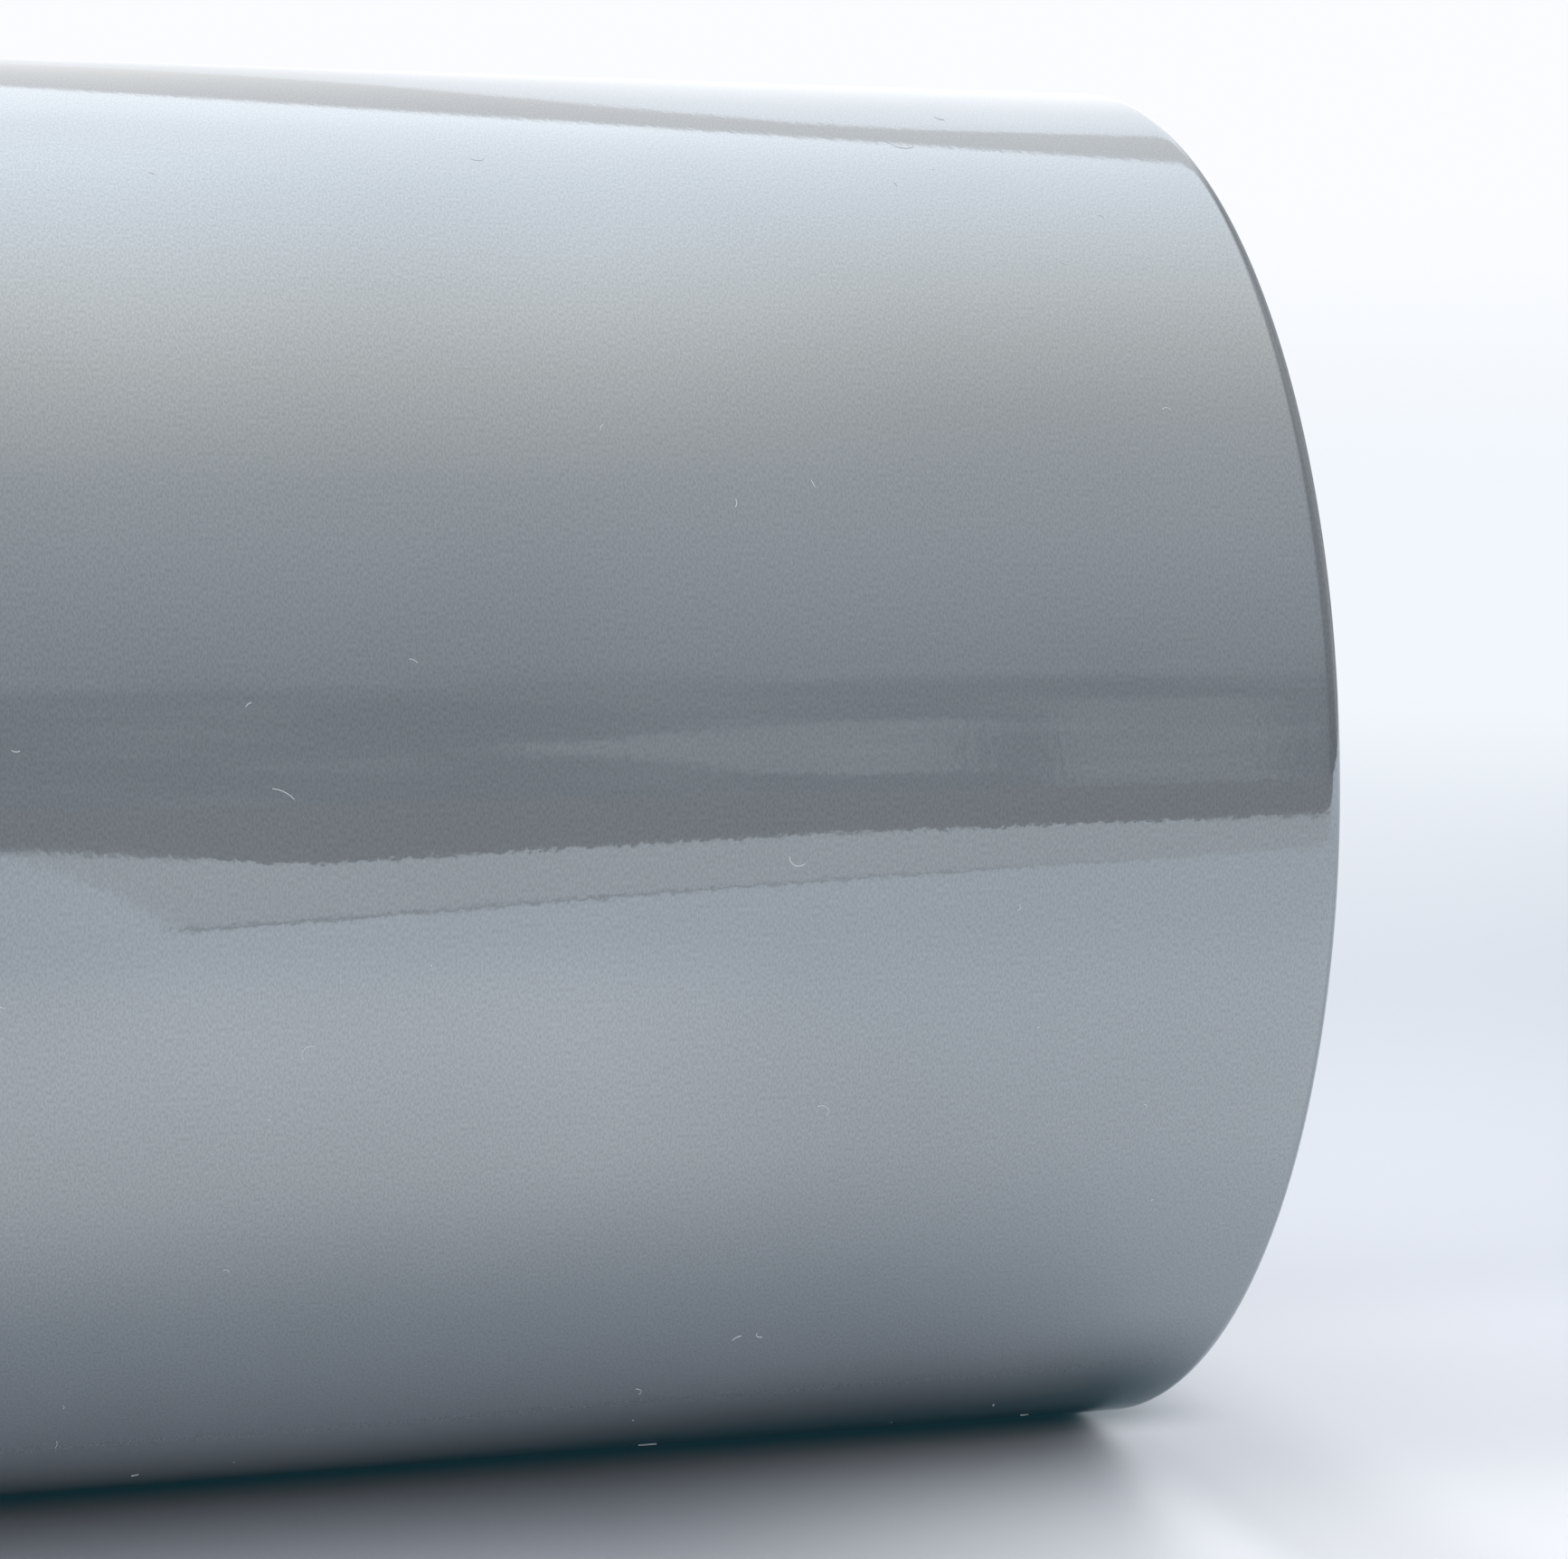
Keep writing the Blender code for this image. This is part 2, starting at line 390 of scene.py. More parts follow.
class Effects:
    """The shader effects that several finishes share. Each is a node group, built once."""

    def _group(
        self, name: str, inputs: dict[str, float | None], output: str
    ) -> tuple[bpy.types.NodeTree, Canvas, dict[str, Socket], Socket]:
        """Starts a group.

        Args:
            name: The group's name.
            inputs: Input names and default values, where None is a vector.
            output: Name of its one output, a value.

        Returns:
            The group, its canvas, its inputs as sockets to read, and its output as a socket to feed.
        """
        group = bpy.data.node_groups.new(name, "ShaderNodeTree")
        for label, default in inputs.items():
            kind = "NodeSocketVector" if default is None else "NodeSocketFloat"
            socket = group.interface.new_socket(label, in_out="INPUT", socket_type=kind)
            if default is not None:
                socket.default_value = default
        group.interface.new_socket(output, in_out="OUTPUT", socket_type="NodeSocketFloat")
        canvas = Canvas(group)
        read = canvas.add("NodeGroupInput").outputs
        end = canvas.add("NodeGroupOutput").inputs[0]
        return group, canvas, {label: read[label] for label in inputs}, end

    @cached_property
    def ripple(self) -> bpy.types.NodeTree:
        """The fine ripple of a coating or a moulded skin: Height from 0 to 1.

        Returns:
            The node group.
        """
        inputs = {"Vector": None, "Width": 0.001, "Stretch": 1.0}
        group, canvas, read, end = self._group("ripple", inputs, "Height")
        x, y, z = canvas.split(read["Vector"])
        along = canvas.math("DIVIDE", y, read["Stretch"])
        scale = canvas.math("DIVIDE", 1.0, read["Width"])
        coarse = canvas.noise(canvas.join(x, along, z), scale, 1.0)
        fine = canvas.noise(canvas.join(x, along, z), canvas.product(scale, 2.7), 1.0)
        canvas.feed(end, canvas.math("MULTIPLY_ADD", fine, 0.35, coarse))
        return group

    @cached_property
    def clouds(self) -> bpy.types.NodeTree:
        """Soft patches of this size: Value between Low and High.

        Returns:
            The node group.
        """
        inputs = {"Vector": None, "Size": 0.03, "Low": 0.0, "High": 1.0}
        group, canvas, read, end = self._group("clouds", inputs, "Value")
        patches = canvas.noise(read["Vector"], canvas.math("DIVIDE", 1.0, read["Size"]), 3.0)
        canvas.feed(end, canvas.smooth(patches, 0.3, 0.7, read["Low"], read["High"]))
        return group

    @cached_property
    def fibres(self) -> bpy.types.NodeTree:
        """Paper fibres, drawn out along X and along Y, of this length: Mask from 0 to 1.

        Returns:
            The node group.
        """
        inputs = {"Vector": None, "Length": 0.002, "Amount": 0.3}
        group, canvas, read, end = self._group("fibres", inputs, "Mask")
        scale = canvas.math("DIVIDE", 1.0, read["Length"])
        low = canvas.minus(0.78, canvas.product(read["Amount"], 0.3))
        high = canvas.plus(low, 0.06)
        masks = []
        for stretch in ((1.0, 9.0, 9.0), (8.0, 1.2, 8.0)):
            drawn_out = canvas.vector("MULTIPLY", read["Vector"], stretch)
            masks.append(canvas.smooth(canvas.noise(drawn_out, scale, 2.0), low, high))
        canvas.feed(end, canvas.math("MAXIMUM", *masks))
        return group

    @cached_property
    def specks(self) -> bpy.types.NodeTree:
        """Round specks of dust, one to some of the cells of this size: Mask from 0 to 1.

        Returns:
            The node group.
        """
        inputs = {"Vector": None, "Spacing": 0.01, "Radius": 0.02, "Share": 0.3}
        group, canvas, read, end = self._group("specks", inputs, "Mask")
        scale = canvas.math("DIVIDE", 1.0, read["Spacing"])
        cells = canvas.node("ShaderNodeTexVoronoi", {"Vector": read["Vector"], "Scale": scale})
        pick, size, _ = canvas.split(cells.outputs["Color"])
        radius = canvas.product(read["Radius"], canvas.plus(size, 0.3))
        inside = canvas.math("LESS_THAN", cells.outputs["Distance"], radius)
        chosen = canvas.math("LESS_THAN", pick, read["Share"])
        canvas.feed(end, canvas.product(inside, chosen))
        return group


# ---- Finishes ----


def principled(
    name: str, **plain: float
) -> tuple[bpy.types.Material, Canvas, dict[str, Socket]]:
    """Starts a material.

    Args:
        name: The material's name.
        plain: Values for its shader's inputs, by name with underscores for spaces.

    Returns:
        The material, the canvas of its tree, and its Principled BSDF's inputs by name.
    """
    material = bpy.data.materials.new(name)
    material.use_nodes = True
    inputs = material.node_tree.nodes["Principled BSDF"].inputs
    for label, value in plain.items():
        inputs[label.replace("_", " ")].default_value = value
    return material, Canvas(material.node_tree), {socket.name: socket for socket in inputs}


@dataclass(frozen=True)
class GlossCoat:
    """The outer face of the paper: a grey, faintly metallic coating with a hard gloss.

    Attributes:
        colour: Colour of the coating.
        dust_colour: Colour of the dust that lies on it.
        metallic: Share of metallic pigment.
        roughness: Roughness where the gloss is cleanest.
        haze: Roughness added in the dullest patches.
        ripple_width: Width of one ripple.
        ripple_height: Height of the ripples.
        wave_width: Width of the slow waves under them.
        wave_height: Height of the slow waves.
        grain: Size of the fine mottle in the coating.
        grain_share: How far the mottle shifts the colour, up and down.
    """

    colour: Colour = (0.340, 0.372, 0.402)
    dust_colour: Colour = (0.72, 0.73, 0.75)
    metallic: float = 0.62
    roughness: float = 0.035
    haze: float = 0.03
    ripple_width: float = 0.62 * MM
    ripple_height: float = 0.0034 * MM
    wave_width: float = 14 * MM
    wave_height: float = 0.012 * MM
    grain: float = 0.11 * MM
    grain_share: float = 0.10

    def make(self, effects: Effects) -> bpy.types.Material:
        """Builds the material, for pieces with a flat map.

        Args:
            effects: The shared effects.

        Returns:
            The material.
        """
        material, canvas, shader = principled("gloss_coat", IOR=1.5)
        flat = canvas.flat_map()
        dust = canvas.effect(effects.specks, Vector=flat, Spacing=5 * MM, Radius=0.012, Share=0.3)
        patches = canvas.effect(effects.clouds, Vector=flat, Size=45 * MM, Low=0.96, High=1.04)
        stretched = canvas.vector("MULTIPLY", flat, (1.0, 0.45, 1.0))
        mottle = canvas.effect(
            effects.clouds, Vector=stretched, Size=self.grain, Low=-self.grain_share, High=self.grain_share
        )
        shades = [tuple(part * shade for part in self.colour) for shade in (0.8, 1.2)]
        uneven = canvas.math("MULTIPLY_ADD", canvas.plus(patches, mottle), 2.5, -2.0)
        coat = canvas.mix(uneven, *shades)
        canvas.feed(shader["Base Color"], canvas.mix(dust, coat, self.dust_colour))
        canvas.feed(shader["Metallic"], canvas.blend(dust, self.metallic, 0.0))
        dullest = self.roughness + self.haze
        haze = canvas.effect(effects.clouds, Vector=flat, Size=25 * MM, Low=self.roughness, High=dullest)
        canvas.feed(shader["Roughness"], canvas.blend(dust, haze, 0.7))
        ripple = canvas.effect(effects.ripple, Vector=flat, Width=self.ripple_width, Stretch=1.5)
        wave = canvas.effect(effects.ripple, Vector=flat, Width=self.wave_width, Stretch=1.2)
        relief = canvas.math("MULTIPLY_ADD", wave, self.wave_height / self.ripple_height, ripple)
        canvas.feed(shader["Normal"], canvas.bump(relief, self.ripple_height))
        return material


@dataclass(frozen=True)
class PaperBack:
    """The uncoated white back of the paper, with its fibres.

    Attributes:
        colour: Colour of the clean paper.
        fibre_colour: Colour of the darker fibres.
        roughness: Its roughness.
        fibre_height: How far the fibres stand up.
    """

    colour: Colour = (0.78, 0.77, 0.74)
    fibre_colour: Colour = (0.60, 0.58, 0.54)
    roughness: float = 0.88
    fibre_height: float = 0.03 * MM

    def make(self, effects: Effects) -> bpy.types.Material:
        """Builds the material, for pieces with a flat map.

        Args:
            effects: The shared effects.

        Returns:
            The material.
        """
        material, canvas, shader = principled("paper_back", Roughness=self.roughness)
        flat = canvas.flat_map()
        fibres = canvas.effect(effects.fibres, Vector=flat, Length=2.5 * MM, Amount=0.5)
        clouds = canvas.effect(effects.clouds, Vector=flat, Size=6 * MM, Low=0.0, High=0.35)
        share = canvas.math("MAXIMUM", canvas.product(fibres, 0.8), clouds)
        canvas.feed(shader["Base Color"], canvas.mix(share, self.colour, self.fibre_colour))
        canvas.feed(shader["Normal"], canvas.bump(fibres, self.fibre_height))
        return material


@dataclass(frozen=True)
class CutEdges:
    """The cut edges of the paper: white paper with a thin line of grey coating on every layer.

    Attributes:
        pitch: Distance from one layer to the next.
        paper: Colour of the paper inside.
        coat: Colour of the coating on its edge.
        grime: Colour of edges that have been handled.
        coat_share: Share of a layer's thickness that is coating.
    """

    pitch: float
    paper: Colour = (0.71, 0.70, 0.68)
    coat: Colour = (0.20, 0.22, 0.24)
    grime: Colour = (0.40, 0.38, 0.35)
    coat_share: float = 0.16

    def make(self, effects: Effects) -> bpy.types.Material:
        """Builds the material, where V of the flat map is the depth below the coated face.

        Args:
            effects: The shared effects.

        Returns:
            The material.
        """
        material, canvas, shader = principled("cut_edges", Roughness=0.9)
        flat = canvas.flat_map()
        _, depth, _ = canvas.split(flat)
        layer = canvas.math("FRACT", canvas.math("DIVIDE", depth, self.pitch))
        coat = canvas.math("LESS_THAN", layer, self.coat_share)
        fibres = canvas.effect(effects.fibres, Vector=flat, Length=1.2 * MM, Amount=0.6)
        handled = canvas.effect(effects.clouds, Vector=canvas.place(), Size=18 * MM, Low=0.0, High=0.5)
        dirt = canvas.math("MAXIMUM", canvas.product(fibres, 0.5), handled)
        paper = canvas.mix(dirt, self.paper, self.grime)
        canvas.feed(shader["Base Color"], canvas.mix(coat, paper, self.coat))
        canvas.feed(shader["Normal"], canvas.bump(fibres, 0.03 * MM))
        return material


@dataclass(frozen=True)
class KraftBoard:
    """Brown board, wound in a spiral from several plies.

    Attributes:
        axis: Height of the tube's axis.
        bore: Inside radius of the tube.
        ply: Thickness of one ply.
        lead: How far the seam between two turns of a ply moves along the tube in one turn.
        colour: Colour of the board.
        fibre_colour: Colour of its pale fibres.
        glue_colour: Colour of the glue lines and seams.
    """

    axis: float
    bore: float
    ply: float
    lead: float = 0.110
    colour: Colour = (0.38, 0.25, 0.145)
    fibre_colour: Colour = (0.55, 0.41, 0.27)
    glue_colour: Colour = (0.17, 0.105, 0.06)

    def make(self, effects: Effects) -> bpy.types.Material:
        """Builds the material.

        Args:
            effects: The shared effects.

        Returns:
            The material.
        """
        material, canvas, shader = principled("kraft_board", Roughness=0.85)
        place = canvas.place()
        x, y, z = canvas.split(place)
        up = canvas.minus(z, self.axis)
        squares = canvas.math("MULTIPLY_ADD", y, y, canvas.product(up, up))
        depth = canvas.minus(canvas.math("SQRT", squares), self.bore)
        plies = canvas.math("FRACT", canvas.math("MULTIPLY_ADD", depth, 1 / self.ply, 0.5))
        glue = canvas.math("LESS_THAN", plies, 0.14)
        turn = canvas.math("DIVIDE", canvas.math("ARCTAN2", up, y), 2 * pi)
        winding = canvas.math("FRACT", canvas.math("MULTIPLY_ADD", x, 1 / self.lead, turn))
        seam = canvas.math("LESS_THAN", winding, 0.006)
        lines = canvas.math("MAXIMUM", glue, seam)
        fibres = canvas.effect(effects.fibres, Vector=place, Length=3 * MM, Amount=0.75)
        mottle = canvas.effect(effects.clouds, Vector=place, Size=9 * MM, Low=0.0, High=0.3)
        pale = canvas.math("MAXIMUM", canvas.product(fibres, 0.75), mottle)
        board = canvas.mix(pale, self.colour, self.fibre_colour)
        canvas.feed(shader["Base Color"], canvas.mix(lines, board, self.glue_colour))
        relief = canvas.minus(canvas.product(fibres, 0.3), lines)
        canvas.feed(shader["Normal"], canvas.bump(relief, 0.08 * MM))
        return material


class TapeFace(Enum):
    """The two faces of paper tape."""

    CREPE = "crepe"
    ADHESIVE = "adhesive"


@dataclass(frozen=True)
class PaperTape:
    """Off-white paper tape, crinkled across its length.

    Attributes:
        face: Which face this is.
        on_map: Whether the piece has a flat map.
        colour: Colour of the paper.
        trough_shade_and_fibre_colour: Darker colour painted in the troughs of the crinkles as painted shade,
            and the real colour of the darker fibres.
        glue_colour: Colour of the adhesive face.
        crinkle: Width of one crinkle.
        crinkle_height: Height of the crinkles.
    """

    face: TapeFace
    on_map: bool = True
    colour: Colour = (0.79, 0.77, 0.71)
    trough_shade_and_fibre_colour: Colour = (0.62, 0.59, 0.52)
    glue_colour: Colour = (0.66, 0.60, 0.46)
    crinkle: float = 0.55 * MM
    crinkle_height: float = 0.05 * MM

    def make(self, effects: Effects) -> bpy.types.Material:
        """Builds the material.

        Args:
            effects: The shared effects.

        Returns:
            The material.
        """
        sticky = self.face is TapeFace.ADHESIVE
        name = f"tape_{self.face.value}" + ("" if self.on_map else "_hidden")
        material, canvas, shader = principled(name, IOR=1.45)
        place = canvas.flat_map() if self.on_map else canvas.place()
        squeezed = canvas.vector("MULTIPLY", place, (0.16, 1.0, 1.0))
        crinkles = canvas.effect(effects.ripple, Vector=squeezed, Width=self.crinkle, Stretch=1.0)
        fibres = canvas.effect(effects.fibres, Vector=place, Length=2 * MM, Amount=0.4)
        # Painted shade: the troughs of the crinkles are darkened in the colour; the fibres take the same
        # darker colour as their own.
        painted_trough_shade = canvas.smooth(crinkles, 0.75, 0.5, 0.0, 0.7)
        tone = self.glue_colour if sticky else self.colour
        paper = canvas.mix(canvas.math("MAXIMUM", painted_trough_shade, fibres), tone, self.trough_shade_and_fibre_colour)
        canvas.feed(shader["Base Color"], paper)
        low, high = (0.25, 0.45) if sticky else (0.55, 0.75)
        dull = canvas.effect(effects.clouds, Vector=place, Size=8 * MM, Low=low, High=high)
        canvas.feed(shader["Roughness"], dull)
        canvas.feed(shader["Normal"], canvas.bump(crinkles, self.crinkle_height))
        return material


@dataclass(frozen=True)
class MouldedPlastic:
    """Black moulded plastic with a fine spark-eroded skin, rubbed pale in places.

    Attributes:
        colour: Colour of the plastic.
        rubbed_colour: Colour where it has been rubbed.
        grain: Width of one grain of the skin.
        grain_height: Height of the grain.
    """

    colour: Colour = (0.030, 0.031, 0.033)
    rubbed_colour: Colour = (0.085, 0.087, 0.09)
    grain: float = 0.28 * MM
    grain_height: float = 0.016 * MM

    def make(self, effects: Effects) -> bpy.types.Material:
        """Builds the material.

        Args:
            effects: The shared effects.

        Returns:
            The material.
        """
        material, canvas, shader = principled("moulded_plastic", IOR=1.49)
        place = canvas.place()
        grain = canvas.effect(effects.ripple, Vector=place, Width=self.grain, Stretch=1.0)
        scuffs = canvas.effect(effects.fibres, Vector=place, Length=7 * MM, Amount=0.35)
        rubbed = canvas.effect(effects.clouds, Vector=place, Size=11 * MM, Low=0.0, High=0.45)
        dust = canvas.effect(effects.specks, Vector=place, Spacing=3 * MM, Radius=0.03, Share=0.3)
        pale = canvas.math("MAXIMUM", rubbed, canvas.math("MAXIMUM", scuffs, dust))
        canvas.feed(shader["Base Color"], canvas.mix(pale, self.colour, self.rubbed_colour))
        canvas.feed(shader["Roughness"], canvas.blend(pale, 0.42, 0.62))
        canvas.feed(shader["Normal"], canvas.bump(grain, self.grain_height))
        return material


@dataclass(frozen=True)
class LabelPaper:
    """Blank satin label paper, printed with a plain swatch of the roll's grey and ruled lines.

    Attributes:
        length: Length of the label along the roll.
        height: Height of the label round the roll.
        colour: Colour of the paper.
        ink: Colour of the swatch.
        rule: Colour of the ruled lines.
    """

    length: float
    height: float
    colour: Colour = (0.82, 0.82, 0.80)
    ink: Colour = (0.235, 0.262, 0.29)
    rule: Colour = (0.42, 0.43, 0.45)

    def make(self, effects: Effects) -> bpy.types.Material:
        """Builds the material, where the flat map is centred on the label.

        Args:
            effects: The shared effects.

        Returns:
            The material.
        """
        material, canvas, shader = principled("label_paper", IOR=1.5)
        flat = canvas.flat_map()
        along, up, _ = canvas.split(flat)
        margin = 3.2 * MM
        half_height = self.height / 2 - margin
        swatch_end = -self.length / 2 + margin + 2 * half_height
        in_height = canvas.math("LESS_THAN", canvas.math("ABSOLUTE", up), half_height)
        past_start = canvas.math("GREATER_THAN", along, -self.length / 2 + margin)
        before_end = canvas.math("LESS_THAN", along, swatch_end)
        swatch = canvas.product(in_height, canvas.product(past_start, before_end))
        line_gap = 2 * half_height / 3
        in_gap = canvas.math("FRACT", canvas.math("MULTIPLY_ADD", up, 1 / line_gap, 0.5))
        off_line = canvas.math("ABSOLUTE", canvas.minus(in_gap, 0.5))
        line = canvas.math("LESS_THAN", off_line, 0.025)
        past_swatch = canvas.math("GREATER_THAN", along, swatch_end + margin)
        before_edge = canvas.math("LESS_THAN", along, self.length / 2 - margin)
        ruled = canvas.product(in_height, canvas.product(past_swatch, before_edge))
        lines = canvas.product(line, ruled)
        fibres = canvas.effect(effects.fibres, Vector=flat, Length=1.5 * MM, Amount=0.3)
        clouds = canvas.effect(effects.clouds, Vector=flat, Size=12 * MM, Low=0.0, High=0.12)
        paper = canvas.mix(canvas.math("MAXIMUM", clouds, canvas.product(fibres, 0.2)),
                           self.colour, self.rule)
        printed = canvas.mix(swatch, canvas.mix(lines, paper, self.rule), self.ink)
        canvas.feed(shader["Base Color"], printed)
        canvas.feed(shader["Roughness"], canvas.blend(canvas.math("MAXIMUM", swatch, lines), 0.48, 0.3))
        canvas.feed(shader["Normal"], canvas.bump(fibres, 0.01 * MM))
        return material


@dataclass(frozen=True)
class Lint:
    """White lint, some of it greyer.

    Attributes:
        colour: Colour of the palest fibres.
        dark_colour: Colour of the darkest.
    """

    colour: Colour = (0.88, 0.89, 0.90)
    dark_colour: Colour = (0.70, 0.71, 0.72)

    def make(self, effects: Effects) -> bpy.types.Material:
        """Builds the material.

        Args:
            effects: The shared effects.

        Returns:
            The material.
        """
        material, canvas, shader = principled("lint", Roughness=0.95)
        tone = canvas.effect(effects.clouds, Vector=canvas.place(), Size=4 * MM, Low=0.0, High=0.9)
        canvas.feed(shader["Base Color"], canvas.mix(tone, self.colour, self.dark_colour))
        return material


# ---- Ways of making a mesh ----


def finish_piece(
    name: str, shape: Shape, materials: list[bpy.types.Material], sharp: float = 40.0
) -> Piece:
    """Turns a bmesh into a smooth-shaded piece in the scene.

    Args:
        name: The piece's name.
        shape: Its mesh, which is freed.
        materials: Its materials, by slot.
        sharp: Angle between two faces, in degrees, past which their edge is sharp.

    Returns:
        The piece.
    """
    bmesh.ops.recalc_face_normals(shape, faces=shape.faces[:])
    for face in shape.faces:
        face.smooth = True
    for edge in shape.edges:
        faces = edge.link_faces
        if len(faces) == 2 and faces[0].material_index != faces[1].material_index:
            edge.smooth = False
        elif edge.calc_face_angle(0.0) > radians(sharp):
            edge.smooth = False
    mesh = bpy.data.meshes.new(name)
    shape.to_mesh(mesh)
    shape.free()
    for material in materials:
        mesh.materials.append(material)
    piece = bpy.data.objects.new(name, mesh)
    bpy.context.scene.collection.objects.link(piece)
    return piece


def settle(piece: Piece, body: str, nodes: tuple[str, ...]) -> Piece:
    """Puts a piece on a body, and reports it."""
    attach(piece, body)
    return declare(piece, body, nodes)


def declare(piece: Piece, body: str, nodes: tuple[str, ...]) -> Piece:
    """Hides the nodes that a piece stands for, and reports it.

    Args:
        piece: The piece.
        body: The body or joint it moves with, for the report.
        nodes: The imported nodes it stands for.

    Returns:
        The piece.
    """
    if nodes:
        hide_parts(*nodes)
    log.info("%s: %d faces, on %s", piece.name, len(piece.data.polygons), body)
    return piece


def steps(start: float, end: float, count: int) -> list[float]:
    """Evenly spaced values, with both ends."""
    return [start + (end - start) * step / count for step in range(count + 1)]


def eased(start: float, end: float, count: int, ease: float = 0.95) -> list[float]:
    """Values that lie closer together towards both ends."""
    shares = [step / count for step in range(count + 1)]
    return [start + (end - start) * (share - ease * sin(2 * pi * share) / (2 * pi)) for share in shares]


def laid_grid(columns: int, rows: int, lay: Callable[[int, int], Vector]) -> Shape:
    """Lays a grid of faces in space.

    Args:
        columns: How many columns of vertices it has.
        rows: How many rows of vertices it has.
        lay: Gives the place of a vertex from its column and row.

    Returns:
        The grid.
    """
    shape = bmesh.new()
    bmesh.ops.create_grid(shape, x_segments=columns - 1, y_segments=rows - 1, size=0.5)
    for vert in shape.verts:
        column = round((vert.co.x + 0.5) * (columns - 1))
        row = round((vert.co.y + 0.5) * (rows - 1))
        vert.co = lay(column, row)
    return shape


@dataclass(frozen=True)
class Strip:
    """A strip of sheet that is made flat and then laid on the roll.

    Attributes:
        columns: Where its columns of vertices lie, in metres across.
        rows: Where its rows of vertices lie, in degrees round the roll.
        thickness: Its thickness.
        radius: Radius at which degrees are turned into metres for its flat map.
        lay: Gives a place from metres across, depth below the outer face, and degrees.
    """

    columns: list[float]
    rows: list[float]
    thickness: float
    radius: float
    lay: Callable[[float, float, float], Vector]

    def shape(self) -> Shape:
        """Builds the strip as a closed slab, mapped flat, with its faces sorted by Face.

        Returns:
            The mesh.
        """
        columns, rows = self.columns, self.rows
        shape = laid_grid(
            len(columns), len(rows), lambda column, row: Vector((columns[column], rows[row], 0))
        )
        below = bmesh.ops.extrude_face_region(shape, geom=shape.faces[:])["geom"]
        verts = [part for part in below if isinstance(part, bmesh.types.BMVert)]
        bmesh.ops.translate(shape, verts=verts, vec=(0, 0, -self.thickness))
        flat = shape.loops.layers.uv.new(FLAT_MAP)
        for face in shape.faces:
            depths = {round(vert.co.z / self.thickness) for vert in face.verts}
            kind = Face.CUT if len(depths) == 2 else Face.OUTER if depths == {0} else Face.INNER
            face.material_index = kind.value
            for loop in face.loops:
                across, angle, depth = loop.vert.co
                along = radians(angle) * self.radius
                loop[flat].uv = (across + along, -depth) if kind is Face.CUT else (across, along)
        for vert in shape.verts:
            across, angle, depth = vert.co
            vert.co = self.lay(across, -depth, angle)
        return shape


def turned(
    profile: list[Pair], axis: float, count: int, start: float = 0.0
) -> Shape:
    """Turns a closed profile about the roll's axis.

    Args:
        profile: Places along the axis and radii, in order round the profile.
        axis: Height of the axis.
        count: How many steps make a full turn.
        start: Angle of the first step, in degrees.

    Returns:
        The closed ring.
    """
    shape = bmesh.new()
    up = Vector((0, cos(radians(start)), sin(radians(start))))
    verts = [shape.verts.new(Vector((x, 0, axis)) + radius * up) for x, radius in profile]
    edges = [shape.edges.new(pair) for pair in zip(verts, verts[1:] + verts[:1])]
    whole = {"cent": (0, 0, axis), "axis": (1, 0, 0), "angle": 2 * pi}
    bmesh.ops.spin(shape, geom=verts + edges, steps=count, use_merge=True, **whole)
    return shape


# ---- The roll's sub-assemblies ----


@dataclass(frozen=True)
class Materials:
    """The finished materials, one of each.

    Attributes:
        gloss: The paper's coated face.
        back: The paper's white back.
        cut: The paper's cut edges.
        board: The core.
        crepe: The outer face of the tape.
        adhesive: The sticky face of the tape.
        hidden_tape: Tape on a piece without a flat map.
        plastic: The end plugs.
        lint: Dust and fibres.
    """

    gloss: bpy.types.Material
    back: bpy.types.Material
    cut: bpy.types.Material
    board: bpy.types.Material
    crepe: bpy.types.Material
    adhesive: bpy.types.Material
    hidden_tape: bpy.types.Material
    plastic: bpy.types.Material
    lint: bpy.types.Material

    @staticmethod
    def mix(effects: Effects, winding: Winding, ply: float) -> "Materials":
        """Builds every material once.

        Args:
            effects: The shared effects.
            winding: How the paper is wound.
            ply: Thickness of one ply of the core.

        Returns:
            The materials.
        """
        roll = winding.roll
        return Materials(
            gloss=GlossCoat().make(effects),
            back=PaperBack().make(effects),
            cut=CutEdges(pitch=winding.pitch).make(effects),
            board=KraftBoard(axis=roll.axis, bore=roll.bore_radius, ply=ply).make(effects),
            crepe=PaperTape(TapeFace.CREPE).make(effects),
            adhesive=PaperTape(TapeFace.ADHESIVE).make(effects),
            hidden_tape=PaperTape(TapeFace.CREPE, on_map=False).make(effects),
            plastic=MouldedPlastic().make(effects),
            lint=Lint().make(effects),
        )

    def paper(self) -> list[bpy.types.Material]:
        """The paper's materials, by Face."""
        return [self.gloss, self.back, self.cut]


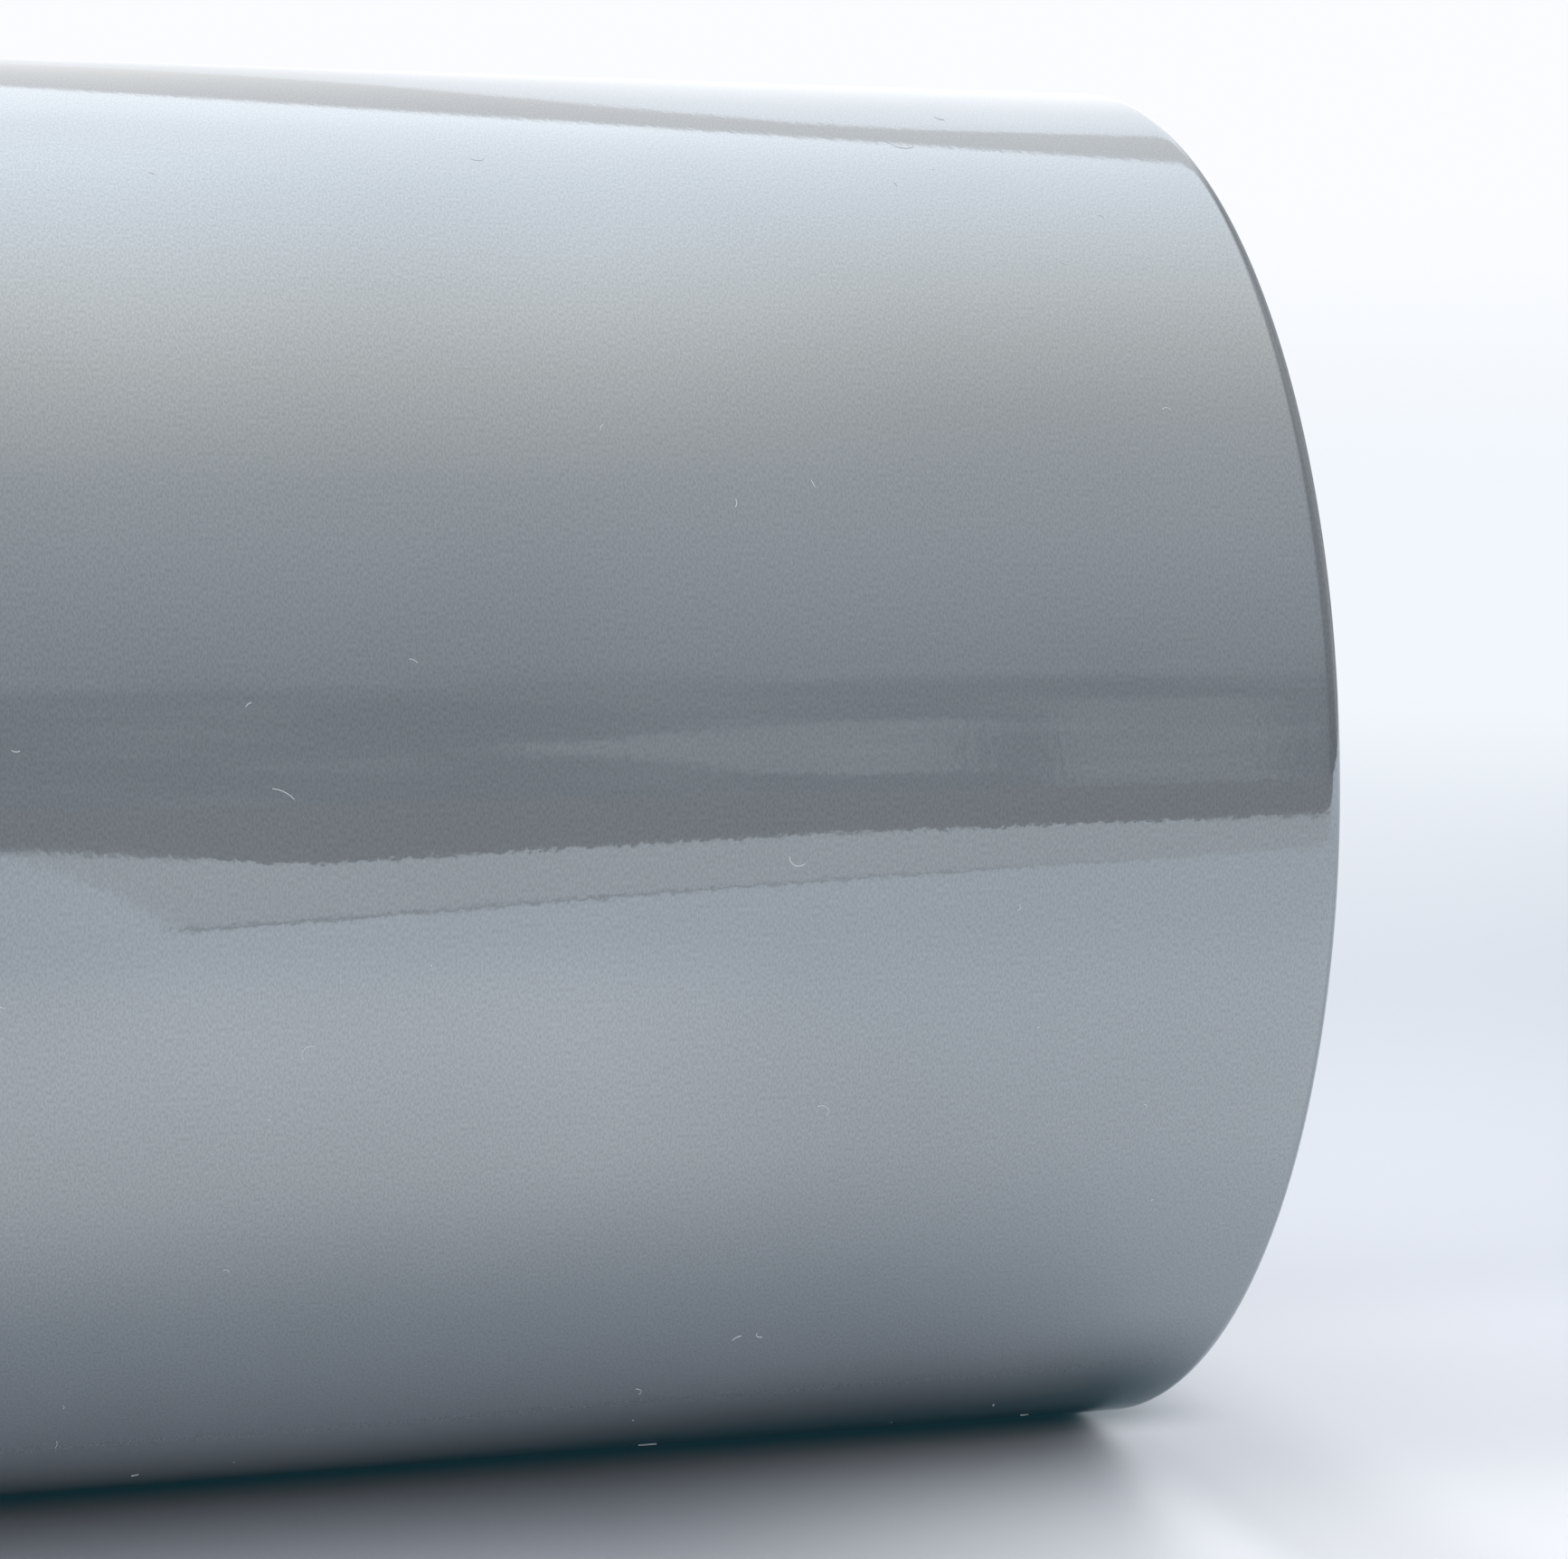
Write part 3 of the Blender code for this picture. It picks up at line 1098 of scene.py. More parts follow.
@dataclass
class Core:
    """The board tube that the paper is wound on.

    Attributes:
        roll: The frame that it is built in.
        plies: How many plies its wall has.
        groove: Depth of the glue line between two plies, on its cut ends.
        chamfer: Size of the worn corners of its cut ends.
        facets: How many steps make a full turn.
    """

    roll: RollFrame
    plies: int = 9
    groove: float = 0.10 * MM
    chamfer: float = 0.22 * MM
    facets: int = 144

    @property
    def ply(self) -> float:
        """Thickness of one ply."""
        return (self.roll.core_radius - self.roll.bore_radius) / self.plies

    def end_profile(self) -> list[Pair]:
        """The profile of one cut end, from the bore outwards.

        Returns:
            For each point, how far it falls short of the end and its radius.
        """
        profile = [(self.chamfer, self.roll.bore_radius)]
        for ply in range(self.plies):
            inner = self.roll.bore_radius + ply * self.ply
            if ply > 0:
                profile.append((self.groove, inner))
            profile += [(0.0, inner + 0.3 * self.ply), (0.0, inner + 0.7 * self.ply)]
        profile.append((self.chamfer, self.roll.core_radius))
        return profile

    def build(self, materials: Materials) -> Piece:
        """Builds the tube.

        Args:
            materials: The finished materials.

        Returns:
            The piece.
        """
        end = self.end_profile()
        right = [(self.roll.half_length - short, radius) for short, radius in end]
        left = [(short - self.roll.half_length, radius) for short, radius in reversed(end)]
        shape = turned(right + left, self.roll.axis, self.facets)
        piece = finish_piece("board_core", shape, [materials.board])
        return settle(piece, "roll", ("core_tube",))


@dataclass
class Windings:
    """All the turns of paper under the last one, as one spiral.

    Attributes:
        winding: How the paper is wound.
        facets: How many steps make one turn.
        groove: How deep the gap between two layers is, on the ends.
        recess: How far the ends lie inside the roll's length.
        wander: How far a layer's edge wanders from its place.
        tuck_depth: Depth to which layers are held in by the bent edges of the last turn.
        core_gap: Gap between the core and the innermost layer.
        tape_room: Half the length over which the start tape needs room, and the radius it needs.
        seed: Seed of the wandering.
    """

    winding: Winding
    facets: int = 160
    groove: float = 0.16 * MM
    recess: float = 0.14 * MM
    wander: float = 0.16 * MM
    tuck_depth: float = 0.9 * MM
    core_gap: float = 0.02 * MM
    tape_room: Pair = (0.312, 0.0309)
    seed: int = 7
    wanders: dict[Side, list[float]] = field(init=False)

    def __post_init__(self) -> None:
        """Draws how far each turn's edges lie from their place."""
        random = Random(self.seed)
        self.wanders = {side: [random.random() for _ in range(self.winding.turns + 3)] for side in Side}

    def edge(self, side: Side, turn: float, below: float) -> float:
        """How far out a layer's edge lies.

        Args:
            side: The end of the roll.
            turn: How many turns lie outside it there.
            below: How deep below the roll's surface it lies.

        Returns:
            Its distance from the middle of the roll.
        """
        turn = min(turn, self.winding.turns + 1)
        first = int(turn)
        drift = self.wanders[side]
        wander = drift[first] + (drift[first + 1] - drift[first]) * (turn - first)
        free = self.winding.roll.half_length - self.recess - self.wander * wander
        held = self.winding.flat_half + 0.05 * MM
        share = min(1.0, max(0.0, (below - self.tuck_depth) / (0.3 * MM)))
        return held + (free - held) * share * share * (3 - 2 * share)

    def columns(self) -> list[tuple[float, float, Side, bool]]:
        """The profile of the spiral at its start, from its outside round one end, the bore and the other.

        Returns:
            For each point: turns outside it, depth in metres or a fixed radius, its end, and whether it is
            a groove. A fixed radius is given as a negative depth.
        """
        turns = self.winding.turns
        layers: list[Pair] = []
        for layer in range(1, turns + 1):
            layers += [(layer, 0.0), (layer, 0.25), (layer, 0.75)]
        layers.append((turns + 1, 0.0))
        right = [(layer, part, Side.RIGHT, part == 0.0) for layer, part in layers]
        left = [(layer, part, Side.LEFT, part == 0.0) for layer, part in reversed(layers)]
        room = [(turns + 1, -1.0, Side.RIGHT, False), (turns + 1, -2.0, Side.RIGHT, False)]
        room += [(turns + 1, -2.0, Side.LEFT, False), (turns + 1, -1.0, Side.LEFT, False)]
        return right + room + left + right[:1]

    def place(self, column: tuple[float, float, Side, bool], row: int) -> Vector:
        """Places one point of the spiral.

        Args:
            column: A point of the profile.
            row: How many steps round the turn it is.

        Returns:
            Its place.
        """
        winding, roll = self.winding, self.winding.roll
        layer, part, side, groove = column
        share = row / self.facets
        angle = roll.root + 360 * share
        innermost = roll.core_radius + self.core_gap
        if part < 0:
            half, radius = self.tape_room
            return roll.around(side.value * half, innermost if part == -1.0 else radius, angle)
        below = winding.pitch * (layer + part + winding.drop(angle))
        radius = roll.axis - below
        if radius <= innermost:
            radius, groove, layer, share = innermost, True, winding.turns + 1, 0.0
        out = self.edge(side, layer + share, winding.pitch * (layer + winding.drop(angle)))
        return roll.around(side.value * (out - (self.groove if groove else 0.0)), radius, angle)

    def build(self, materials: Materials) -> Piece:
        """Builds the windings.

        Args:
            materials: The finished materials.

        Returns:
            The piece.
        """
        columns = self.columns()
        pitch = self.winding.pitch
        shape = laid_grid(len(columns), self.facets + 1, lambda column, row: Vector((column, row, 0)))
        flat = shape.loops.layers.uv.new(FLAT_MAP)
        for face in shape.faces:
            ends = {columns[round(loop.vert.co.x)][1] for loop in face.loops}
            sides = {columns[round(loop.vert.co.x)][2] for loop in face.loops}
            face.material_index = Face.CUT.value if len(sides) == 1 and min(ends) >= 0 else Face.INNER.value
            for loop in face.loops:
                layer, part, _, _ = columns[round(loop.vert.co.x)]
                last = max(columns[round(corner.vert.co.x)][0] for corner in face.loops) - layer
                depth = 1.0 if part == 0.0 and last == 0 else part
                along = 2 * pi * self.winding.roll.core_radius * (layer + loop.vert.co.y / self.facets)
                loop[flat].uv = (along, pitch * (layer + depth if part else layer))
        for vert in shape.verts:
            vert.co = self.place(columns[round(vert.co.x)], round(vert.co.y))
        bmesh.ops.remove_doubles(shape, verts=shape.verts[:], dist=0.0005 * MM)
        bmesh.ops.dissolve_degenerate(shape, edges=shape.edges[:], dist=0.0005 * MM)
        rim = [edge for edge in shape.edges if edge.is_boundary]
        bmesh.ops.holes_fill(shape, edges=rim, sides=0)
        piece = finish_piece("paper_windings", shape, materials.paper())
        return settle(piece, "roll", ("wound_pack",))


@dataclass
class Sheet:
    """The last turn of the paper, and its free end on the back.

    Attributes:
        winding: How the paper is wound.
        bend_steps: How many faces make the bend of an edge.
        span_steps: How many faces lie between the two bent edges.
        turn_steps: How many faces make the last turn.
        end_steps: How many faces make the free end.
        give: Length below the root of the line about which the free end would bend if it were lifted.
        stand_off: How far the free end stands off between its tapes.
        tape_places: Where along the roll the tapes hold it.
        tape_half: Half the width of a tape.
    """

    winding: Winding
    bend_steps: int = 8
    span_steps: int = 44
    turn_steps: int = 320
    end_steps: int = 72
    give: float = 9 * MM
    stand_off: float = 0.42 * MM
    tape_places: tuple[float, ...] = (-0.25, 0.0, 0.25)
    tape_half: float = 12.5 * MM

    def columns(self) -> list[float]:
        """Where the columns of the sheet's vertices lie: close together in the bends, open between them.

        Returns:
            Their places across the sheet.
        """
        half, whole = self.winding.flat_half, self.winding.half_width
        left = steps(-whole, -half, self.bend_steps)
        middle = eased(-half, half, self.span_steps, 0.97)
        return left[:-1] + middle + [-across for across in reversed(left[:-1])]

    def slack(self, across: float, angle: float) -> float:
        """How far the free end stands off the turn below it.

        Args:
            across: Place along the roll.
            angle: Angle round the roll, in degrees.

        Returns:
            The distance.
        """
        roll = self.winding.roll
        down = min(1.0, max(0.0, (roll.root - 8 - angle) / (roll.root - 8 - roll.free_edge)))
        away = min(abs(across - place) for place in self.tape_places) - self.tape_half
        free = min(1.0, max(0.0, away / 0.09))
        return self.stand_off * down**2 * free * free * (3 - 2 * free)

    def build_turn(self, materials: Materials) -> Piece:
        """Builds the last turn.

        Args:
            materials: The finished materials.

        Returns:
            The piece.
        """
        winding, roll = self.winding, self.winding.roll
        strip = Strip(
            columns=self.columns(),
            rows=eased(roll.root, roll.root + 360, self.turn_steps),
            thickness=winding.sheet,
            radius=roll.axis,
            lay=lambda across, depth, angle: winding.place(across, depth, angle, winding.surface(angle)),
        )
        piece = finish_piece("paper_outer_turn", strip.shape(), materials.paper())
        return settle(piece, "roll", ("last_turn",))

    def build_free_end(self, materials: Materials) -> Piece:
        """Builds the free end, which stands off the turn below it between its tapes.

        Args:
            materials: The finished materials.

        Returns:
            The piece.
        """
        winding, roll = self.winding, self.winding.roll
        strip = Strip(
            columns=self.columns(),
            rows=eased(roll.free_edge, roll.root, self.end_steps, 0.9),
            thickness=winding.sheet,
            radius=roll.axis,
            lay=lambda across, depth, angle: winding.place(
                across, depth, angle, roll.axis + self.slack(across, angle)
            ),
        )
        piece = finish_piece("paper_free_end", strip.shape(), materials.paper())
        down = roll.around(0, roll.axis, roll.root - degrees(self.give / roll.axis))
        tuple(roll.hinge)
        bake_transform(piece)
        return declare(piece, "leader_lift", ("leader_flap",))


@dataclass
class TapeTabs:
    """The three tapes over the free end, and the tape that starts the paper on the core.

    Attributes:
        winding: How the paper is wound.
        sheet: The sheet that they hold.
        thickness: Thickness of the tape.
        glue: Gap under the tape.
        tooth: Width of one tooth of the torn ends.
        tooth_depth: Depth of the teeth.
        step: Angle over which the tape comes down off the free edge, in degrees.
        give: Length from the root of the line about which a tab would bend if it were peeled.
    """

    winding: Winding
    sheet: Sheet
    thickness: float = 0.13 * MM
    glue: float = 0.012 * MM
    tooth: float = 1.5625 * MM
    tooth_depth: float = 0.75 * MM
    step: float = 1.7
    give: float = 5.5 * MM

    def base(self, angle: float) -> float:
        """Radius of what the tape lies on: the free end, then the turn below it.

        Args:
            angle: Angle of the place, in degrees.

        Returns:
            The radius.
        """
        roll = self.winding.roll
        share = min(1.0, max(0.0, (roll.free_edge - angle) / self.step))
        share = share * share * (3 - 2 * share)
        return roll.axis + (self.winding.surface(angle + 360) - roll.axis) * share

    def lay(self, place: float, across: float, depth: float, angle: float) -> Vector:
        """Lays a point of a tape on the roll, with its two ends torn to teeth.

        Args:
            place: Where along the roll the tape is.
            across: Distance from the middle of the tape.
            depth: Distance below its outer face.
            angle: Angle round the roll, in degrees.

        Returns:
            The point.
        """
        roll = self.winding.roll
        tooth = abs((across / self.tooth) % 1.0 - 0.5) * 2 * degrees(self.tooth_depth / roll.axis)
        near_end = max(0.0, 1 - (angle - roll.tab_end) / 4)
        near_root = max(0.0, 1 - (roll.tab_root - angle) / 4)
        angle += tooth * near_end - tooth * near_root
        radius = self.base(angle) + self.glue + self.thickness - depth
        return roll.around(place + across, radius, angle)

    def build(self, materials: Materials) -> list[Piece]:
        """Builds the three tabs and dresses the start tape.

        Args:
            materials: The finished materials.

        Returns:
            The tabs.
        """
        roll = self.winding.roll
        half = self.sheet.tape_half
        tabs = []
        for place, name in zip(self.sheet.tape_places, ("left", "centre", "right")):
            strip = Strip(
                columns=steps(-half, half, 32),
                rows=steps(roll.tab_end, roll.tab_root, 120),
                thickness=self.thickness,
                radius=roll.axis,
                lay=lambda across, depth, angle, place=place: self.lay(place, across, depth, angle),
            )
            dress = [materials.crepe, materials.adhesive, materials.crepe]
            piece = finish_piece(f"tape_tab_{name}", strip.shape(), dress)
            down = roll.around(place, roll.axis, roll.tab_root - degrees(self.give / roll.axis))
            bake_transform(piece)
            tabs.append(declare(piece, f"{name}_tab_peel", (f"tail_tape_{name}",)))
        node = frame["nodes"]["start_tape"]
        for slot in node.material_slots:
            slot.material = materials.hidden_tape
        return tabs


@dataclass
class SizeLabel:
    """The blank label on the back, near the left end.

    Attributes:
        winding: How the paper is wound.
        thickness: Thickness of the label.
        corner: Radius of its corners.
        bands: How many bands it is cut into to follow the roll.
    """

    winding: Winding
    thickness: float = 0.12 * MM
    corner: float = 2.5 * MM
    bands: int = 26

    def build(self, effects: Effects) -> Piece:
        """Builds the label, flat at first and then laid on the roll.

        Args:
            effects: The shared effects.

        Returns:
            The piece.
        """
        roll = self.winding.roll
        low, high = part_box("size_label")
        length, middle = high.x - low.x, (high.x + low.x) / 2
        top = degrees(atan2(high.z - roll.axis, high.y))
        bottom = degrees(atan2(low.z - roll.axis, low.y))
        centre, height = (top + bottom) / 2, radians(top - bottom) * roll.axis
        shape = bmesh.new()
        bmesh.ops.create_grid(shape, x_segments=1, y_segments=1, size=0.5)
        bmesh.ops.scale(shape, vec=(length, height, 1), verts=shape.verts[:])
        bmesh.ops.bevel(
            shape, geom=shape.verts[:], offset=self.corner, offset_type="OFFSET", segments=7, profile=0.5,
            affect="VERTICES", material=-1,
        )
        for cut in steps(-height / 2, height / 2, self.bands)[1:-1]:
            everything = shape.verts[:] + shape.edges[:] + shape.faces[:]
            bmesh.ops.bisect_plane(shape, geom=everything, plane_co=(0, cut, 0), plane_no=(0, 1, 0))
        below = bmesh.ops.extrude_face_region(shape, geom=shape.faces[:])["geom"]
        verts = [part for part in below if isinstance(part, bmesh.types.BMVert)]
        bmesh.ops.translate(shape, verts=verts, vec=(0, 0, -self.thickness))
        flat = shape.loops.layers.uv.new(FLAT_MAP)
        for face in shape.faces:
            for loop in face.loops:
                loop[flat].uv = loop.vert.co.xy
        for vert in shape.verts:
            angle = centre + degrees(vert.co.y / roll.axis)
            radius = self.winding.surface(angle + 360) + self.thickness + 0.01 * MM + vert.co.z
            vert.co = roll.around(middle + vert.co.x, radius, angle)
        paper = LabelPaper(length=length, height=height).make(effects)
        piece = finish_piece("blank_label", shape, [paper])
        return settle(piece, "roll", ("size_label",))


@dataclass
class EndPlug:
    """A push-in plug: a flange over the end of the core, a ribbed barrel in the bore, and a cup to grip in.

    Attributes:
        roll: The frame that it is built in.
        side: Which end it closes.
        flange: Thickness of the flange.
        flange_radius: Radius of the flange.
        barrel_radius: Outside radius of the barrel.
        barrel_length: How far the barrel reaches into the bore.
        cup_radius: Inside radius of the cup.
        cup_depth: Depth of the cup below the inner face of the flange.
        stand: Gap between the flange and the end of the core.
        rib_height: Radius of the tops of the ribs.
        rib_span: Where the ribs start and end, measured into the bore.
        bar: Thickness of the grip bar.
        facets: How many steps make a full turn.
    """

    roll: RollFrame
    side: Side
    flange: float = 2.2 * MM
    flange_radius: float = 28.0 * MM
    barrel_radius: float = 24.6 * MM
    barrel_length: float = 22 * MM
    cup_radius: float = 23.2 * MM
    cup_depth: float = 20 * MM
    stand: float = 0.3 * MM
    rib_height: float = 25.1 * MM
    rib_span: Pair = (2 * MM, 17 * MM)
    bar: float = 3.0 * MM
    facets: int = 192

    @staticmethod
    def fillet(
        centre: Pair, radius: float, start: float, end: float, count: int = 5
    ) -> list[Pair]:
        """Points round a fillet.

        Args:
            centre: Its centre.
            radius: Its radius.
            start: The angle where it starts, in degrees.
            end: The angle where it ends.
            count: How many steps it takes.

        Returns:
            The points.
        """
        return [
            (centre[0] + radius * cos(radians(angle)), centre[1] + radius * sin(radians(angle)))
            for angle in steps(start, end, count)
        ]

    def profile(self) -> list[Pair]:
        """The half section of the flange, barrel and cup, from the centre of the cup's floor outwards.

        Returns:
            For each point, its place along the axis and its radius.
        """
        out, rim, root = self.flange, self.flange_radius, 0.6 * MM
        fine = 0.4 * MM
        section = [(-self.cup_depth, 0.0), (-self.cup_depth, 8 * MM), (-self.cup_depth, 16 * MM)]
        section += self.fillet((-self.cup_depth + 1.2 * MM, self.cup_radius - 1.2 * MM), 1.2 * MM, 180, 90)
        section += [(-12 * MM, self.cup_radius), (-4 * MM, self.cup_radius)]
        section += self.fillet((out - 0.8 * MM, self.cup_radius + 0.8 * MM), 0.8 * MM, 270, 360)
        groove = out - 0.25 * MM
        section += [(out, 24.9 * MM), (groove, 25.1 * MM), (groove, 25.9 * MM), (out, 26.1 * MM)]
        section += self.fillet((out - root, rim - root), root, 0, 90)
        section += self.fillet((fine / 2, rim - fine / 2), fine / 2, 90, 180, 3)
        section += [(0.0, 26.4 * MM), (0.0, self.barrel_radius + fine)]
        section += self.fillet((-fine, self.barrel_radius + fine), fine, 360, 270, 3)[1:]
        start, end = self.rib_span
        foot, barrel = -self.barrel_length, self.barrel_radius
        section += [(-start, barrel), (-end + 1.5 * MM, barrel), (-end, barrel)]
        section += [(foot + 1.6 * MM, barrel), (foot + 0.3 * MM, barrel - 0.5 * MM)]
        section += self.fillet((foot + 0.3 * MM, barrel - 0.8 * MM), 0.3 * MM, 90, 180, 3)
        section += [(foot, 14 * MM), (foot, 2 * MM), (foot + 0.5 * MM, 1.2 * MM), (foot + 0.5 * MM, 0.0)]
        return section

    def add_ribs(self, shape: Shape) -> None:
        """Pulls eight crush ribs out of the barrel.

        Args:
            shape: The plug at the origin, with its axis along X.
        """
        start, end = self.rib_span
        chosen = []
        for face in shape.faces:
            middle = face.calc_center_median()
            angle = degrees(atan2(middle.z, middle.y)) % 45
            on_barrel = abs(hypot(middle.y, middle.z) - self.barrel_radius) < 0.1 * MM
            if on_barrel and -end < middle.x < -start and abs(angle - 22.5) < 1.9:
                chosen.append(face)
        raised = bmesh.ops.extrude_face_region(shape, geom=chosen)["geom"]
        bmesh.ops.delete(shape, geom=chosen, context="FACES_ONLY")
        for vert in (part for part in raised if isinstance(part, bmesh.types.BMVert)):
            out = hypot(vert.co.y, vert.co.z)
            lead = min(1.0, (vert.co.x + end) / (1.5 * MM))
            grow = (out + (self.rib_height - self.barrel_radius) * max(0.15, lead)) / out
            vert.co.y *= grow
            vert.co.z *= grow

    def add_bar(self, shape: Shape) -> None:
        """Adds the grip bar across the cup, with rounded long edges and a hollow for the finger on each side.

        Args:
            shape: The plug at the origin, with its axis along X.
        """
        inner, outer = -self.cup_depth - 0.4 * MM, -2.0 * MM
        made = bmesh.ops.create_grid(shape, x_segments=24, y_segments=10, size=0.5)["verts"]
        faces = {face for vert in made for face in vert.link_faces}
        thick = bmesh.ops.extrude_face_region(shape, geom=list(faces))["geom"]
        top = [part for part in thick if isinstance(part, bmesh.types.BMVert)]
        bmesh.ops.translate(shape, verts=top, vec=(0, 0, 1))
        for vert in made + top:
            across, deep, layer = vert.co.x * 2, vert.co.y + 0.5, vert.co.z * 2 - 1
            hollow = 0.55 * MM * max(0.0, 1 - (across / 0.6) ** 2) * sin(pi * deep)
            crown = 1 - 0.42 * max(0.0, (deep - 0.9) / 0.1) ** 2
            flare = 0.5 * MM * (max(0.0, abs(across) - 0.9) + max(0.0, 0.1 - deep)) / 0.1
            half = (self.bar / 2 - hollow + flare) * crown
            along = inner + (outer - inner) * deep
            vert.co = Vector((along, layer * half, across * (self.cup_radius + 0.3 * MM)))

    def build(self, materials: Materials) -> Piece:
        """Builds the plug.

        Args:
            materials: The finished materials.

        Returns:
            The piece.
        """
        shape = bmesh.new()
        start = radians(360 / self.facets / 2)
        up = Vector((0, cos(start), sin(start)))
        verts = [shape.verts.new(Vector((x, 0, 0)) + radius * up) for x, radius in self.profile()]
        edges = [shape.edges.new(pair) for pair in zip(verts, verts[1:])]
        whole = {"cent": (0, 0, 0), "axis": (1, 0, 0), "angle": 2 * pi}
        bmesh.ops.spin(shape, geom=verts + edges, steps=self.facets, use_merge=True, **whole)
        bmesh.ops.remove_doubles(shape, verts=shape.verts[:], dist=0.001 * MM)
        bmesh.ops.recalc_face_normals(shape, faces=shape.faces[:])
        self.add_ribs(shape)
        self.add_bar(shape)
        if self.side is Side.LEFT:
            bmesh.ops.rotate(shape, verts=shape.verts[:], cent=(0, 0, 0), matrix=Matrix.Rotation(pi, 3, "Z"))
        out = self.side.value * (self.roll.half_length + self.stand)
        bmesh.ops.translate(shape, verts=shape.verts[:], vec=(out, 0, self.roll.axis))
        name = self.side.name.lower()
        piece = finish_piece(f"end_plug_{name}", shape, [materials.plastic], 35.0)
        return settle(piece, f"{name}_plug", (f"{name}_end_plug",))


@dataclass
class SurfaceLint:
    """Loose fibres and specks lying on the last turn.

    Attributes:
        winding: How the paper is wound.
        fibres: How many fibres there are.
        specks: How many specks there are.
        length: Shortest and longest fibre.
        thickness: Radius of a fibre.
        speck: Smallest and largest radius of a speck.
        seed: Seed of their places.
    """

    winding: Winding
    fibres: int = 430
    specks: int = 260
    length: Pair = (0.5 * MM, 1.9 * MM)
    thickness: float = 0.022 * MM
    speck: Pair = (0.03 * MM, 0.075 * MM)
    seed: int = 21

    def drop(self, bit: Shape, pile: Shape, random: Random) -> None:
        """Turns a bit of lint and drops it somewhere on the last turn.

        Args:
            bit: The bit, lying flat at the origin, which is freed.
            pile: The mesh that all the lint is gathered in.
            random: What the place is drawn from.
        """
        roll = self.winding.roll
        across = random.uniform(-0.985, 0.985) * self.winding.flat_half
        angle = random.uniform(roll.root + 3, roll.root + 232)
        spot = roll.around(across, self.winding.surface(angle) + 0.012 * MM, angle)
        turn = Matrix.Rotation(random.uniform(0, 2 * pi), 4, "Z")
        stand = Matrix.Rotation(radians(angle - 90), 4, "X")
        mesh = bpy.data.meshes.new("bit")
        bit.to_mesh(mesh)
        bit.free()
        mesh.transform(Matrix.Translation(spot) @ stand @ turn)
        pile.from_mesh(mesh)
        bpy.data.meshes.remove(mesh)

    def fibre(self, random: Random) -> Shape:
        """Makes one fibre, curled in a flat arc.

        Args:
            random: What its length and curl are drawn from.

        Returns:
            The fibre.
        """
        length = random.uniform(*self.length) * random.uniform(0.6, 1.0)
        curl = random.uniform(0.15, 2.6)
        bit = bmesh.new()
        ring = bmesh.ops.create_circle(bit, cap_ends=True, segments=3, radius=self.thickness)["verts"]
        bmesh.ops.rotate(bit, verts=ring, cent=(0, 0, 0), matrix=Matrix.Rotation(pi / 2, 3, "X"))
        arc = {"cent": (length / curl, 0, 0), "axis": (0, 0, 1), "angle": curl}
        bmesh.ops.spin(bit, geom=bit.faces[:], steps=5, use_merge=False, **arc)
        return bit

    def speck_of(self, random: Random) -> Shape:
        """Makes one flattened speck.

        Args:
            random: What its size and shape are drawn from.

        Returns:
            The speck.
        """
        bit = bmesh.new()
        radius = random.uniform(*self.speck) * random.uniform(0.5, 1.0)
        bmesh.ops.create_icosphere(bit, subdivisions=1, radius=radius)
        bmesh.ops.scale(bit, verts=bit.verts[:], vec=(1.0, random.uniform(0.5, 1.0), 0.5))
        return bit

    def build(self, materials: Materials) -> Piece:
        """Builds all the lint as one piece.

        Args:
            materials: The finished materials.

        Returns:
            The piece.
        """
        random = Random(self.seed)
        shape = bmesh.new()
        for _ in range(self.fibres):
            self.drop(self.fibre(random), shape, random)
        for _ in range(self.specks):
            self.drop(self.speck_of(random), shape, random)
        piece = finish_piece("surface_lint", shape, [materials.lint])
        return settle(piece, "roll", ())


# ---- The studio ----


